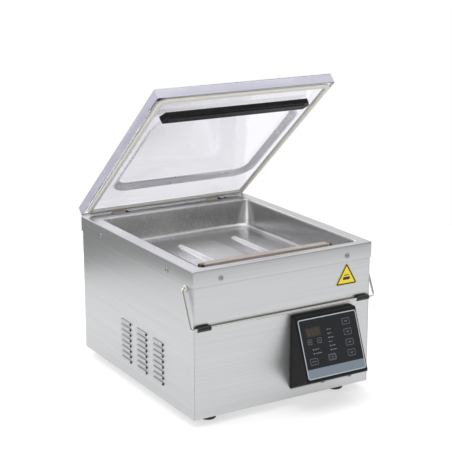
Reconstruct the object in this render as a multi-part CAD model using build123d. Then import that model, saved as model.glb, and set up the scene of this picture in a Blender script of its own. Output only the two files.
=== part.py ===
from build123d import *
import math
import os

# Table-top chamber vacuum packing machine with a hinged clear lid, millimetres.
# Origin: on the table, under the middle of the casing. The front faces -Y, +Z is up.

# ---- casing ----
body_width = 350.0
body_depth = 414.0
body_height = 255.0          # underside of the casing to the top of the cover
sheet = 1.2                  # panel sheet thickness
pan_upstand = 14.0
panel_fit = 0.3              # gap between panels that meet at a corner
panel_top_gap = 5.0          # panel top edge to the underside of the cover

# ---- feet ----
foot_height = 15.0
foot_radius = 14.0
foot_inset_x = 45.0
foot_inset_y = 33.0

# ---- top cover ----
cover_overhang = 2.5
cover_sheet = 1.5
skirt_height = 28.0
cover_edge_radius = 2.5
cover_corner_radius = 3.0
screw_drop = 18.0            # top of the cover to the skirt screws
front_screw_inset = 52.5     # cover side to the screws of its front skirt
side_screw_inset = 85.5      # cover end to the screws of its side skirts
rear_screw_inset = 31.5      # cover side to the screws of its rear skirt
screw_shank_radius = 2.0
screw_head_radius = 4.0
screw_head_height = 2.2
screw_clearance = 0.2

# ---- chamber ----
chamber_side_land = 23.5     # cover side to the chamber opening
chamber_rear_land = 46.5     # chamber opening to the cover's rear edge
chamber_depth = 50.0
chamber_front_land = 15.5    # cover front edge to the chamber opening
chamber_sheet = 2.0
chamber_draft = 5.0          # how far each wall leans in at the floor
chamber_rim_radius = 8.0
chamber_floor_corner = 26.0
chamber_flange = 9.0
pad_height = 4.0
pad_rear_gap = 65.0          # floor pads to the rear of the chamber
pad_front_gap = 64.0         # chamber front to the front end of the floor pads
middle_pad_width = 80.0
side_pad_width = 47.0
pad_groove = 35.0
pad_corner = 8.0
port_radius = 9.0
port_setback = 109.5         # cover front edge to the suction port

# ---- seal bar ----
seal_bar_length = 250.0
seal_bar_width = 15.0
seal_bar_height = 19.0
seal_bar_setback = 59.5      # cover front edge to the middle of the seal bar
seal_bar_drop = 9.0          # top of the cover to the top of the seal bar
seal_wire_width = 4.0
seal_wire_height = 0.25
tape_thickness = 0.3
tape_length = 244.0
tape_side = 7.0
terminal_length = 6.0
terminal_width = 10.0
terminal_height = 8.0
piston_radius = 5.0
piston_x = 95.0
piston_engagement = 12.0
lift_cylinder_radius = 13.0
lift_cylinder_height = 16.0
spigot_radius = 4.0
spigot_length = 12.0
running_clearance = 0.05

# ---- lid ----
lid_side_setback = 3.0       # cover side to the closed lid's side
lid_rear_setback = 12.9      # closed lid's rear edge to the cover's rear edge
lid_thickness = 18.6
lid_front_setback = 0.5      # cover front edge to the closed lid's front edge
lid_open_angle = 40.5
lid_corner_radius = 3.0
lid_edge_radius = 1.5
lid_recess_depth = 8.0
lid_recess_side = 28.5       # lid side to the recess
lid_recess_rear = 90.0       # lid rear edge to the recess
lid_recess_corner = 25.0
closed_gap = 0.3
gasket_height = 4.0
gasket_groove = 4.0
gasket_width = 9.0
gasket_side_margin = 5.0
gasket_front_margin = 4.0
gasket_rear_margin = 12.0
gasket_corner = 14.0
counter_bar_length = 297.0
counter_bar_width = 24.0
counter_bar_height = 9.5     # holder and silicone strip together
counter_bar_bevel = 8.0
silicone_width = 11.0
silicone_depth = 5.0
silicone_proud = 1.2

# ---- lid hinge ----
hinge_setback = 14.9         # hinge axis to the cover's rear edge
hinge_drop = 23.3            # top of the cover to the hinge axis
hinge_x = 101.0
hinge_width = 26.0
hinge_shaft_radius = 4.0
hinge_ring_radius = 9.0
hinge_web = 11.0
hinge_plate = 4.0
hinge_plate_height = 13.0
hinge_slot_margin = 2.5
hinge_slot_length = 22.5     # front of the hinge slots to the cover's rear edge
hinge_notch_depth = 20.0     # top of the cover to the bottom of the rear notch
hinge_cheek = 3.0
hinge_cheek_gap = 0.6
hinge_shaft_end = 8.0
hinge_screw_radius = 2.0
hinge_screw_depth = 18.0
hinge_screw_pitch = 14.0
spring_wire_radius = 1.25
spring_coil_radius = 7.0
spring_turns = 6
spring_pitch = 3.2
spring_x = 62.0

# ---- hold-down bail ----
bail_pivot_setback = 27.1    # cover front edge to the bail pivot
bail_pivot_drop = 34.1       # top of the cover to the bail pivot
bail_wire_radius = 2.0
bail_leg_gap = 5.0           # side panel to the near side of the bail leg
bail_bar_drop = 97.7         # top of the cover to the cross bar at rest
bail_bend_radius = 4.9       # centre line
bail_inner_reach = 8.0
sleeve_radius = 4.5
sleeve_length = 24.0
sleeve_inset = 7.1           # end of the bail's bend to the outer end of the sleeve
bush_radius = 4.0
bush_flange_radius = 5.6
bush_flange = 1.5
bush_length = 6.0

# ---- louvres ----
louvre_columns = 3
louvre_rows = 8
louvre_column_pitch = 60.0
louvre_row_pitch = 10.0
louvre_length = 34.5
louvre_radius = 3.0
louvre_wall = 1.0
louvre_middle_y = -25.0
louvre_low_z = 28.5          # casing underside to the lowest row

# ---- control housing ----
housing_width = 126.0
housing_x = 75.5
housing_top_drop = 107.0     # top of the cover to the housing top
housing_top_depth = 12.0
housing_face_length = 113.0
housing_face_tilt = 21.5
housing_foot_rise = 16.7     # casing underside to the housing's lower back edge
housing_wall = 2.5
housing_round = 3.0
overlay_width = 119.5
overlay_height = 101.5
overlay_top = 5.6            # housing top edge to the overlay, down the face
overlay_recess = 0.6
overlay_proud = 0.3
overlay_corner = 4.0
key_width = 16.0
key_height = 11.0
small_key_size = 9.0
key_corner = 1.5
key_proud = 0.3
key_travel = 0.5
key_gap = 0.15
window_width = 29.0
window_height = 15.0
board_drop = 8.0
board_thickness = 1.6

# ---- drive and services ----
drive_x = -55.0
drive_z = 95.0
motor_radius = 52.0
motor_front = -165.0
motor_length = 130.0
motor_wall = 4.0
rotor_radius = 27.0
drive_shaft_radius = 7.0
pump_width = 112.0
pump_length = 130.0
pump_height = 118.0
pump_gap = 4.0
pump_cavity_radius = 36.0
pump_rotor_radius = 30.0
pump_rotor_length = 84.0
mount_height = 14.0
mount_radius = 11.0
plate_thickness = 3.0
filter_length = 96.0
filter_radius = 22.0
hose_radius = 8.0
hose_bend = 12.0
transformer_x = 112.0
transformer_y = -110.0
transformer_width = 76.0
transformer_depth = 66.0
transformer_height = 64.0
power_board_x = 106.0
power_board_y = 40.0
power_board_width = 110.0
power_board_length = 130.0
standoff_height = 10.0
valve_x = 112.0
valve_y = 140.0
fan_x = 30.0
fan_z = 120.0
fan_size = 80.0
fan_depth = 25.0
fan_bore = 37.0
fan_hub = 15.0
fan_blades = 7
inlet_x = -120.0
inlet_z = 62.0
switch_x = -120.0
switch_z = 102.0
inlet_flange = 2.5
switch_flange = 2.0
rocker_radius = 10.0
rocker_width = 13.6
rocker_tilt = 8.0
rocker_set = 3.0             # rear panel face to the rocker's axis
lid_switch_x = 124.0
lid_switch_setback = 16.5    # lid switch to the cover's rear edge
lid_switch_drop = 4.0        # cover underside to the switch body
plunger_radius = 2.5
plunger_proud = 1.3          # top of the cover to the top of the pin
plunger_travel = 1.3
label_x = 125.7
label_side = 45.0
label_low_drop = 70.0
label_thickness = 0.5

# ---- places worked out from the sizes above ----
base_z = foot_height
top_z = foot_height + body_height
half_w = body_width / 2
half_d = body_depth / 2
cover_w = body_width + 2 * cover_overhang
cover_d = body_depth + 2 * cover_overhang
front_screw_x = cover_w / 2 - front_screw_inset
side_screw_y = cover_d / 2 - side_screw_inset
rear_screw_x = cover_w / 2 - rear_screw_inset
chamber_width = cover_w - 2 * chamber_side_land
chamber_length = cover_d - chamber_front_land - chamber_rear_land
pad_length = chamber_length - pad_front_gap - pad_rear_gap
port_y = -cover_d / 2 + port_setback
seal_bar_y = -cover_d / 2 + seal_bar_setback
lid_width = cover_w - 2 * lid_side_setback
lid_length = cover_d - lid_front_setback - lid_rear_setback
lid_recess_width = lid_width - 2 * lid_recess_side
hinge_y = cover_d / 2 - hinge_setback
hinge_slot_front = cover_d / 2 - hinge_slot_length
bail_pivot_y = -cover_d / 2 + bail_pivot_setback
lid_switch_y = cover_d / 2 - lid_switch_setback
skirt_z = top_z - skirt_height
panel_top = top_z - cover_sheet - panel_top_gap
screw_z = top_z - screw_drop
chamber_y = -cover_d / 2 + chamber_front_land + chamber_length / 2
floor_z = top_z - chamber_depth
pad_y = chamber_y - chamber_length / 2 + pad_front_gap + pad_length / 2
side_pad_x = middle_pad_width / 2 + pad_groove + side_pad_width / 2
port_x = middle_pad_width / 2 + pad_groove / 2
seal_top = top_z - seal_bar_drop
beam_top = seal_top - tape_thickness - seal_wire_height
beam_low = beam_top - seal_bar_height
lid_low = top_z + gasket_height + closed_gap
lid_top = lid_low + lid_thickness
lid_front = -cover_d / 2 + lid_front_setback
lid_rear = lid_front + lid_length
hinge_z = top_z - hinge_drop
notch_z = top_z - hinge_notch_depth
bail_pivot_z = top_z - bail_pivot_drop
bail_bar_z = top_z - bail_bar_drop
bail_bar_y = -half_d - sleeve_radius - closed_gap
bail_x = half_w + bail_leg_gap + bail_wire_radius
tilt = math.radians(housing_face_tilt)
housing_top = top_z - housing_top_drop
face_y = -half_d - housing_top_depth
chin_y = face_y - housing_face_length * math.sin(tilt)
chin_z = housing_top - housing_face_length * math.cos(tilt)
housing_low = base_z + housing_foot_rise
face_plane = Plane(
    origin=(housing_x, face_y, housing_top),
    x_dir=(1, 0, 0),
    z_dir=(0, -math.cos(tilt), math.sin(tilt)),
)
pan_top = base_z + sheet
plate_z = pan_top + mount_height


def block(x_low, x_high, y_low, y_high, z_low, z_high):
    """A box given by its two corners."""
    size = Box(x_high - x_low, y_high - y_low, z_high - z_low)
    return Pos((x_low + x_high) / 2, (y_low + y_high) / 2, (z_low + z_high) / 2) * size


def rod_x(radius, length, x, y, z):
    """A cylinder along X."""
    return Pos(x, y, z) * Rot(Y=90) * Cylinder(radius, length)


def rod_y(radius, length, x, y, z):
    """A cylinder along Y."""
    return Pos(x, y, z) * Rot(X=90) * Cylinder(radius, length)


def rod_z(radius, z_low, z_high, x, y):
    """A cylinder standing between two heights."""
    return Pos(x, y, (z_low + z_high) / 2) * Cylinder(radius, z_high - z_low)


def rounded_plate(width, length, corner, z_low, z_high, x=0.0, y=0.0):
    """A flat plate with round corners."""
    outline = RectangleRounded(width, length, corner)
    return Pos(x, y, z_low) * extrude(outline, z_high - z_low)


def group(pieces):
    """Several separate solids that share one node."""
    solids = []
    for piece in pieces:
        solids.extend(piece.solids())
    return Compound(children=solids)


def opened(shape):
    """Turns a piece of the closed lid to the open position."""
    turn = Pos(0, hinge_y, hinge_z) * Rot(X=-lid_open_angle) * Pos(0, -hinge_y, -hinge_z)
    return turn * shape


# ---------------------------------------------------------------- casing

def base_pan():
    """Bottom tray that the panels stand round and the machinery is bolted to."""
    x = half_w - sheet - panel_fit
    y = half_d - sheet - panel_fit
    tray = block(-x, x, -y, y, base_z, base_z + pan_upstand)
    tray -= block(-x + sheet, x - sheet, -y + sheet, y - sheet, pan_top, base_z + pan_upstand + 1)
    for foot_x, foot_y in foot_places():
        tray -= rod_z(screw_shank_radius + screw_clearance, base_z - 1, pan_top + 1, foot_x, foot_y)
    return tray


def foot_places():
    x = half_w - foot_inset_x
    y = half_d - foot_inset_y
    return [(-x, -y), (x, -y), (-x, y), (x, y)]


def rubber_feet():
    """Rubber feet with a moulded-in stud that snaps through the base."""
    pieces = []
    for x, y in foot_places():
        body = rod_z(foot_radius, 0, foot_height, x, y)
        body = chamfer(body.edges().group_by(Axis.Z)[0], 1.5)
        pieces.append(body + rod_z(screw_shank_radius, foot_height, pan_top + 5, x, y))
    return group(pieces)


def louvre_places():
    places = []
    for column in range(louvre_columns):
        y = louvre_middle_y + (column - (louvre_columns - 1) / 2) * louvre_column_pitch
        for row in range(louvre_rows):
            places.append((y, base_z + louvre_low_z + row * louvre_row_pitch))
    return places


def side_panel(side):
    """Side sheet with pressed air louvres: raised half-round ridges, open at both ends."""
    inner = side * (half_w - sheet)
    outer = side * half_w
    low, high = min(inner, outer), max(inner, outer)
    panel = block(low, high, -half_d, half_d, base_z, panel_top)
    for y in (-side_screw_y, side_screw_y):
        panel -= rod_x(screw_shank_radius + screw_clearance, 4 * sheet, outer, y, screw_z)
    panel -= rod_x(bush_radius + running_clearance, 4 * sheet, outer, bail_pivot_y, bail_pivot_z)
    bores = []
    ridges = []
    for y, z in louvre_places():
        bores.append(rod_y(louvre_radius - louvre_wall, louvre_length, outer, y, z))
        ridges.append(rod_y(louvre_radius, louvre_length, outer, y, z))
    outside = block(min(0, side * 2 * half_w), max(0, side * 2 * half_w), -half_d, half_d, base_z, panel_top)
    inside = block(min(0, inner), max(0, inner), -half_d, half_d, base_z, panel_top)
    for ridge in ridges:
        panel += (ridge & outside) - inside
    for bore in bores:
        panel -= bore
    return panel


def front_panel():
    x = half_w - sheet - panel_fit
    panel = block(-x, x, -half_d, -half_d + sheet, base_z, panel_top)
    for screw_x in (-front_screw_x, front_screw_x):
        panel -= rod_y(screw_shank_radius + screw_clearance, 4 * sheet, screw_x, -half_d, screw_z)
    # cable way behind the control housing
    cable_z = (housing_top + housing_low) / 2
    panel -= block(
        housing_x - 20, housing_x + 20, -half_d - 1, -half_d + 2 * sheet, cable_z - 12, cable_z + 12
    )
    return panel


def rear_panel():
    """Back sheet with the fan grille holes, the mains inlet, the switch and the hinge notches."""
    x = half_w - sheet - panel_fit
    panel = block(-x, x, half_d - sheet, half_d, base_z, panel_top)
    for screw_x in (-rear_screw_x, rear_screw_x):
        panel -= rod_y(screw_shank_radius + screw_clearance, 4 * sheet, screw_x, half_d, screw_z)
    slot = hinge_width / 2 + hinge_slot_margin
    for middle in (-hinge_x, hinge_x):
        panel -= block(middle - slot, middle + slot, half_d - 2 * sheet, half_d + 1, notch_z - 2, top_z)
    panel -= rod_y(fan_bore, 4 * sheet, fan_x, half_d, fan_z)
    panel -= block(inlet_x - 13.6, inlet_x + 13.6, half_d - 3, half_d + 1, inlet_z - 9.9, inlet_z + 9.9)
    panel -= block(switch_x - 11.1, switch_x + 11.1, half_d - 3, half_d + 1, switch_z - 13.1, switch_z + 13.1)
    return panel


def top_cover():
    """Drawn cover with a deep skirt, the chamber opening and open-ended hinge slots."""
    shell = block(-cover_w / 2, cover_w / 2, -cover_d / 2, cover_d / 2, skirt_z, top_z)
    shell = fillet(shell.edges().filter_by(Axis.Z), cover_corner_radius)
    shell = fillet(shell.edges().group_by(Axis.Z)[-1], cover_edge_radius)
    x = cover_w / 2 - cover_sheet
    y = cover_d / 2 - cover_sheet
    shell -= rounded_plate(2 * x, 2 * y, cover_corner_radius - cover_sheet, skirt_z - 1, top_z - cover_sheet)
    shell -= rounded_plate(
        chamber_width, chamber_length, chamber_rim_radius, top_z - 2 * cover_sheet, top_z + 1, y=chamber_y
    )
    slot = hinge_width / 2 + hinge_slot_margin
    for middle in (-hinge_x, hinge_x):
        shell -= block(middle - slot, middle + slot, hinge_slot_front, cover_d, notch_z, top_z + 1)
    hole = screw_shank_radius + screw_clearance
    for screw_x in (-front_screw_x, front_screw_x):
        shell -= rod_y(hole, 4 * cover_sheet, screw_x, -cover_d / 2, screw_z)
    for screw_x in (-rear_screw_x, rear_screw_x):
        shell -= rod_y(hole, 4 * cover_sheet, screw_x, cover_d / 2, screw_z)
    for side in (-1, 1):
        for screw_y in (-side_screw_y, side_screw_y):
            shell -= rod_x(hole, 4 * cover_sheet, side * cover_w / 2, screw_y, screw_z)
    shell -= rod_z(plunger_radius + 0.3, top_z - 2 * cover_sheet, top_z + 1, lid_switch_x, lid_switch_y)
    return shell


def cover_screws():
    """Pan-head screws that hold the cover's skirt to the panels."""
    length = cover_overhang + 3 * sheet
    pieces = []
    for screw_x in (-front_screw_x, front_screw_x):
        y = -cover_d / 2
        head = rod_y(screw_head_radius, screw_head_height, screw_x, y - screw_head_height / 2, screw_z)
        pieces.append(head + rod_y(screw_shank_radius, length, screw_x, y + length / 2, screw_z))
    for screw_x in (-rear_screw_x, rear_screw_x):
        y = cover_d / 2
        head = rod_y(screw_head_radius, screw_head_height, screw_x, y + screw_head_height / 2, screw_z)
        pieces.append(head + rod_y(screw_shank_radius, length, screw_x, y - length / 2, screw_z))
    for side in (-1, 1):
        x = side * cover_w / 2
        for screw_y in (-side_screw_y, side_screw_y):
            head = rod_x(
                screw_head_radius, screw_head_height, x + side * screw_head_height / 2, screw_y, screw_z
            )
            pieces.append(head + rod_x(screw_shank_radius, length, x - side * length / 2, screw_y, screw_z))
    return group(pieces)


# ---------------------------------------------------------------- chamber and seal bar

def chamber_form(wall, z_low, z_high, corner_top, corner_low):
    """Drafted rounded box whose corner radius grows towards the floor."""
    upper = Pos(0, chamber_y, z_high) * RectangleRounded(
        chamber_width + 2 * wall, chamber_length + 2 * wall, corner_top + wall
    )
    lower = Pos(0, chamber_y, z_low) * RectangleRounded(
        chamber_width - 2 * chamber_draft + 2 * wall,
        chamber_length - 2 * chamber_draft + 2 * wall,
        corner_low + wall,
    )
    return loft([upper, lower], ruled=True)


def vacuum_chamber():
    """Deep-drawn tub hung under the cover by its flange, with raised pads on the floor."""
    rim = top_z - cover_sheet
    tub = chamber_form(chamber_sheet, floor_z - chamber_sheet, rim, chamber_rim_radius, chamber_floor_corner)
    tub += rounded_plate(
        chamber_width + 2 * chamber_flange,
        chamber_length + 2 * chamber_flange,
        chamber_rim_radius + chamber_flange,
        rim - chamber_sheet,
        rim,
        y=chamber_y,
    )
    tub -= chamber_form(0, floor_z, rim, chamber_rim_radius, chamber_floor_corner)
    pads = [(0, middle_pad_width), (-side_pad_x, side_pad_width), (side_pad_x, side_pad_width)]
    for pad_x, width in pads:
        pad = rounded_plate(width, pad_length, pad_corner, floor_z - 0.5, floor_z + pad_height, pad_x, pad_y)
        tub += fillet(pad.edges().group_by(Axis.Z)[-1], 2.5)
    tub -= rod_z(port_radius, floor_z - 2 * chamber_sheet, floor_z + 1, port_x, port_y)
    for x in (-piston_x, piston_x):
        tub -= rod_z(
            spigot_radius + running_clearance, floor_z - 2 * chamber_sheet, floor_z + 1, x, seal_bar_y
        )
    return tub


def suction_grid():
    """Perforated plug in the suction port of the chamber floor, with a hose tail below."""
    plug = rod_z(port_radius + 3, floor_z, floor_z + 2, port_x, port_y)
    plug += rod_z(port_radius - running_clearance, floor_z - 20, floor_z, port_x, port_y)
    plug -= rod_z(port_radius - 3, floor_z - 21, floor_z + 0.5, port_x, port_y)
    for index in range(6):
        angle = math.radians(60 * index)
        hole_x = port_x + 3.8 * math.cos(angle)
        hole_y = port_y + 3.8 * math.sin(angle)
        plug -= rod_z(1.1, floor_z, floor_z + 3, hole_x, hole_y)
    return plug


def seal_bar_beam():
    x = seal_bar_length / 2
    y = seal_bar_width / 2
    return block(-x, x, seal_bar_y - y, seal_bar_y + y, beam_low, beam_top)


def seal_wire():
    """Flat heating band along the top of the beam."""
    x = seal_bar_length / 2
    y = seal_wire_width / 2
    return block(-x, x, seal_bar_y - y, seal_bar_y + y, beam_top, beam_top + seal_wire_height)


def seal_tape():
    """Non-stick glass-cloth tape folded over the top of the beam."""
    x = tape_length / 2
    y = seal_bar_width / 2
    outer = block(
        -x, x, seal_bar_y - y - tape_thickness, seal_bar_y + y + tape_thickness,
        beam_top - tape_side, seal_top
    )
    inner = block(-x - 1, x + 1, seal_bar_y - y, seal_bar_y + y, beam_low, beam_top + seal_wire_height)
    return outer - inner


def seal_terminals():
    """Clamp blocks at the ends of the heating band."""
    pieces = []
    for side in (-1, 1):
        middle = side * (seal_bar_length + terminal_length) / 2
        x = terminal_length / 2
        y = terminal_width / 2
        piece = block(
            middle - x, middle + x, seal_bar_y - y, seal_bar_y + y, beam_top - terminal_height, beam_top
        )
        piece += rod_z(2.4, beam_top, beam_top + 0.4, middle, seal_bar_y)
        pieces.append(piece)
    return group(pieces)


def lift_pistons():
    """Rods under the beam that the lift cylinders push up."""
    low = floor_z + lift_cylinder_height - piston_engagement
    return group([rod_z(piston_radius, low, beam_low, x, seal_bar_y) for x in (-piston_x, piston_x)])


def lift_cylinders():
    """Two small air cylinders on the chamber floor, with spigots through it."""
    pieces = []
    for x in (-piston_x, piston_x):
        top = floor_z + lift_cylinder_height
        piece = rod_z(lift_cylinder_radius, floor_z, top, x, seal_bar_y)
        piece -= rod_z(
            piston_radius + running_clearance, top - piston_engagement - 1.5, top + 1, x, seal_bar_y
        )
        piece += rod_z(spigot_radius, floor_z - spigot_length, floor_z, x, seal_bar_y)
        piece -= rod_z(spigot_radius / 2, floor_z - spigot_length - 1, top - piston_engagement, x, seal_bar_y)
        pieces.append(piece)
    return group(pieces)


# ---------------------------------------------------------------- lid, modelled closed and then opened

def gasket_ring(extra, z_low, z_high):
    """Rounded rectangular ring; extra widens both of its walls."""
    width = lid_width - 2 * gasket_side_margin
    low = lid_front + gasket_front_margin
    high = lid_rear - gasket_rear_margin
    middle = (low + high) / 2
    outer = rounded_plate(
        width + 2 * extra, high - low + 2 * extra, gasket_corner + extra, z_low, z_high, y=middle
    )
    inner = rounded_plate(
        width - 2 * gasket_width - 2 * extra,
        high - low - 2 * gasket_width - 2 * extra,
        gasket_corner - gasket_width + 2,
        z_low - 1,
        z_high + 1,
        y=middle,
    )
    return outer - inner


def hinge_screw_places():
    places = []
    for middle in (-hinge_x, hinge_x):
        for step in (-0.5, 0.5):
            places.append(middle + step * hinge_screw_pitch)
    return places


def acrylic_lid():
    """Thick clear lid with a gasket groove and a milled recess underneath."""
    x = lid_width / 2
    slab = block(-x, x, lid_front, lid_rear, lid_low, lid_top)
    slab = fillet(slab.edges().filter_by(Axis.Z), lid_corner_radius)
    slab = fillet(slab.edges().group_by(Axis.Z)[-1], lid_edge_radius)
    slab -= gasket_ring(0, lid_low - 1, lid_low + gasket_groove)
    recess_front = seal_bar_y + counter_bar_width / 2 + 8
    recess_rear = lid_rear - lid_recess_rear
    recess = rounded_plate(
        lid_recess_width,
        recess_rear - recess_front,
        lid_recess_corner,
        lid_low - 1,
        lid_low + lid_recess_depth,
        y=(recess_front + recess_rear) / 2,
    )
    slab -= fillet(recess.edges().group_by(Axis.Z)[-1], lid_recess_depth / 2)
    for screw_x in hinge_screw_places():
        slab -= rod_y(
            hinge_screw_radius, hinge_screw_depth, screw_x, lid_rear - hinge_screw_depth / 2, hinge_screw_z()
        )
    return opened(slab)


def hinge_screw_z():
    return lid_low + lid_thickness / 2 - 1.5


def lid_gasket():
    """Silicone seal round the lid, standing out of its groove."""
    ring = gasket_ring(0, lid_low - gasket_height, lid_low + gasket_groove)
    ring = fillet(ring.edges().group_by(Axis.Z)[0], 1.5)
    return opened(ring)


def counter_bar_outline(width, length, bevel):
    x = length / 2
    y = width / 2
    points = [(-x, 0), (-x + bevel, y), (x - bevel, y), (x, 0), (x - bevel, -y), (-x + bevel, -y)]
    return make_face(Polyline(*points, close=True))


def counter_bar_holder():
    """Black bar under the lid that carries the silicone strip above the seal bar."""
    height = counter_bar_height - silicone_proud
    outline = counter_bar_outline(counter_bar_width, counter_bar_length, counter_bar_bevel)
    bar = Pos(0, seal_bar_y, lid_low - height) * extrude(outline, height)
    bar = chamfer(bar.edges().group_by(Axis.Z)[0], 1.5)
    bar -= silicone_box(0)
    return opened(bar)


def silicone_box(extra):
    x = counter_bar_length / 2 - 14
    y = silicone_width / 2
    low = lid_low - counter_bar_height - extra
    high = lid_low - counter_bar_height + silicone_proud + silicone_depth
    return block(-x, x, seal_bar_y - y, seal_bar_y + y, low, high)


def counter_bar_silicone():
    return opened(silicone_box(0))


def hinge_block(side):
    """Lid arm: a ring on the hinge shaft, a web up through the cover slot and an L foot on the lid."""
    x = side * hinge_x
    half = hinge_width / 2
    arm = rod_x(hinge_ring_radius, hinge_width, x, hinge_y, hinge_z)
    arm += block(x - half, x + half, hinge_y - hinge_web / 2, hinge_y + hinge_web / 2, hinge_z, lid_low)
    foot_front = lid_rear - gasket_rear_margin + 1
    arm += block(
        x - half, x + half, foot_front, lid_rear + hinge_plate, lid_low - gasket_height + 0.5, lid_low
    )
    arm += block(x - half, x + half, lid_rear, lid_rear + hinge_plate, lid_low, lid_low + hinge_plate_height)
    arm -= rod_x(hinge_shaft_radius + running_clearance, hinge_width + 2, x, hinge_y, hinge_z)
    for screw_x in hinge_screw_places():
        arm -= rod_y(
            hinge_screw_radius + screw_clearance, 3 * hinge_plate, screw_x,
            lid_rear + hinge_plate, hinge_screw_z()
        )
    return opened(arm)


def hinge_screws():
    """Screws through the hinge arms into the rear edge of the lid."""
    pieces = []
    for x in hinge_screw_places():
        z = hinge_screw_z()
        y = lid_rear + hinge_plate
        shank = rod_y(
            hinge_screw_radius, hinge_plate + hinge_screw_depth, x,
            y - (hinge_plate + hinge_screw_depth) / 2, z
        )
        head = rod_y(hinge_screw_radius * 1.9, 2.2, x, y + 1.1, z)
        head -= rod_y(hinge_screw_radius * 0.8, 1.2, x, y + 2.2, z)
        pieces.append(opened(shank + head))
    return group(pieces)


def shaft_half_length():
    return hinge_x + hinge_width / 2 + hinge_cheek_gap + hinge_cheek + hinge_shaft_end


def hinge_shaft():
    return rod_x(hinge_shaft_radius, 2 * shaft_half_length(), 0, hinge_y, hinge_z)


def hinge_bracket(side):
    """Folded bracket on the rear panel with a cheek on each side of the lid arm."""
    x = side * hinge_x
    inner = hinge_width / 2 + hinge_cheek_gap
    outer = inner + hinge_cheek
    rear = half_d - sheet
    low = hinge_z - hinge_ring_radius - 18
    plate_high = hinge_z - hinge_ring_radius - 2
    bracket = block(x - outer, x + outer, rear - 2, rear, low, plate_high)
    for edge in (-1, 1):
        near = x + edge * inner
        far = x + edge * outer
        cheek = block(
            min(near, far), max(near, far), hinge_y - hinge_ring_radius, rear,
            low, hinge_z + hinge_ring_radius
        )
        bracket += cheek
    bracket -= rod_x(hinge_shaft_radius, 2 * outer + 2, x, hinge_y, hinge_z)
    return bracket


def lid_springs():
    """Coiled springs on the hinge shaft that push the lid open."""
    pieces = []
    height = spring_turns * spring_pitch
    for side in (-1, 1):
        path = Helix(spring_pitch, height, spring_coil_radius)
        start = Plane(origin=path @ 0, z_dir=path % 0)
        coil = sweep(start * Circle(spring_wire_radius), path=path, is_frenet=True)
        pieces.append(Pos(side * spring_x - height / 2, hinge_y, hinge_z) * Rot(Y=90) * coil)
    return group(pieces)


# ---------------------------------------------------------------- bail

def bail_wire():
    """Round wire hold-down: legs outside the casing, a cross bar in front."""
    end = half_w - bail_inner_reach
    path = FilletPolyline(
        (-end, bail_pivot_y, bail_pivot_z),
        (-bail_x, bail_pivot_y, bail_pivot_z),
        (-bail_x, bail_bar_y, bail_bar_z),
        (bail_x, bail_bar_y, bail_bar_z),
        (bail_x, bail_pivot_y, bail_pivot_z),
        (end, bail_pivot_y, bail_pivot_z),
        radius=bail_bend_radius,
    )
    start = Plane(origin=path @ 0, z_dir=path % 0)
    return sweep(start * Circle(bail_wire_radius), path=path)


def bail_sleeve(side):
    """Plastic tube on the cross bar that rests on the panel or presses on the lid."""
    outer = bail_x - bail_bend_radius - sleeve_inset
    x = side * (outer - sleeve_length / 2)
    tube = rod_x(sleeve_radius, sleeve_length, x, bail_bar_y, bail_bar_z)
    tube = fillet(tube.edges().filter_by(GeomType.CIRCLE), 0.8)
    return tube - rod_x(bail_wire_radius, sleeve_length + 2, x, bail_bar_y, bail_bar_z)


def bail_bushes():
    """Flanged bushes in the side panels that carry the ends of the bail."""
    pieces = []
    for side in (-1, 1):
        outer = side * (half_w + bush_flange / 2)
        flange = rod_x(bush_flange_radius, bush_flange, outer, bail_pivot_y, bail_pivot_z)
        stem = rod_x(bush_radius, bush_length, side * (half_w - bush_length / 2), bail_pivot_y, bail_pivot_z)
        hole = rod_x(
            bail_wire_radius + running_clearance, 4 * bush_length, side * half_w, bail_pivot_y, bail_pivot_z
        )
        pieces.append(flange + stem - hole)
    return group(pieces)


# ---------------------------------------------------------------- control unit

def wedge_outline(back):
    """Side outline of the housing; back moves its open side into the casing."""
    lean = (chin_z - housing_low) / (-half_d - chin_y)
    points = [
        (-half_d + back, housing_top),
        (face_y, housing_top),
        (chin_y, chin_z),
        (-half_d + back, housing_low - lean * back),
    ]
    return points


def wedge(points, width, inset):
    outline = make_face(Plane.YZ * Polyline(*points, close=True))
    if inset:
        outline = offset(outline, -inset, kind=Kind.INTERSECTION)
    return Pos(housing_x - width / 2, 0, 0) * extrude(outline, width, dir=(1, 0, 0))


def on_face(shape, u, v, w=0.0):
    """Places a piece on the sloping face: u across, v up the slope, w outward."""
    return face_plane.location * Pos(u, v, w) * shape


def key_table():
    """Name, distance across, distance down the face, width and height of each key."""
    column_x = 111.2 - housing_x
    rows = [
        ("key_up", 32.2 - housing_x, 44.9, small_key_size, small_key_size),
        ("key_down", 51.6 - housing_x, 44.9, small_key_size, small_key_size),
        ("key_lower_left", 33.6 - housing_x, 78.2, key_width, key_height),
        ("key_lower_middle", 71.1 - housing_x, 76.4, key_width, key_height),
    ]
    for index in range(4):
        rows.append((f"key_right_{index + 1}", column_x, 22.0 + 18.0 * index, key_width, key_height))
    return rows


window_u = 42.5 - housing_x
window_v = -29.3


def face_slab(width, height, corner, low, high):
    return Pos(0, 0, low) * extrude(RectangleRounded(width, height, corner), high - low)


def control_housing():
    """Moulded wedge on the front panel, open at the back, with pockets for the overlay and the keys."""
    shell = wedge(wedge_outline(0), housing_width, 0)
    front_edges = shell.edges().filter_by(lambda edge: edge.center().Y < -half_d - 1)
    shell = fillet(front_edges, housing_round)
    shell -= wedge(wedge_outline(20), housing_width - 2 * housing_wall, housing_wall)
    middle = -overlay_top - overlay_height / 2
    shell -= on_face(
        face_slab(overlay_width + 0.2, overlay_height + 0.2, overlay_corner, -overlay_recess, 5), 0, middle
    )
    for name, u, down, width, height in key_table():
        pocket = face_slab(
            width + 2 * key_gap, height + 2 * key_gap, key_corner, -overlay_recess - key_travel - 0.2, 5
        )
        shell -= on_face(pocket, u, -down)
    return shell


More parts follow.
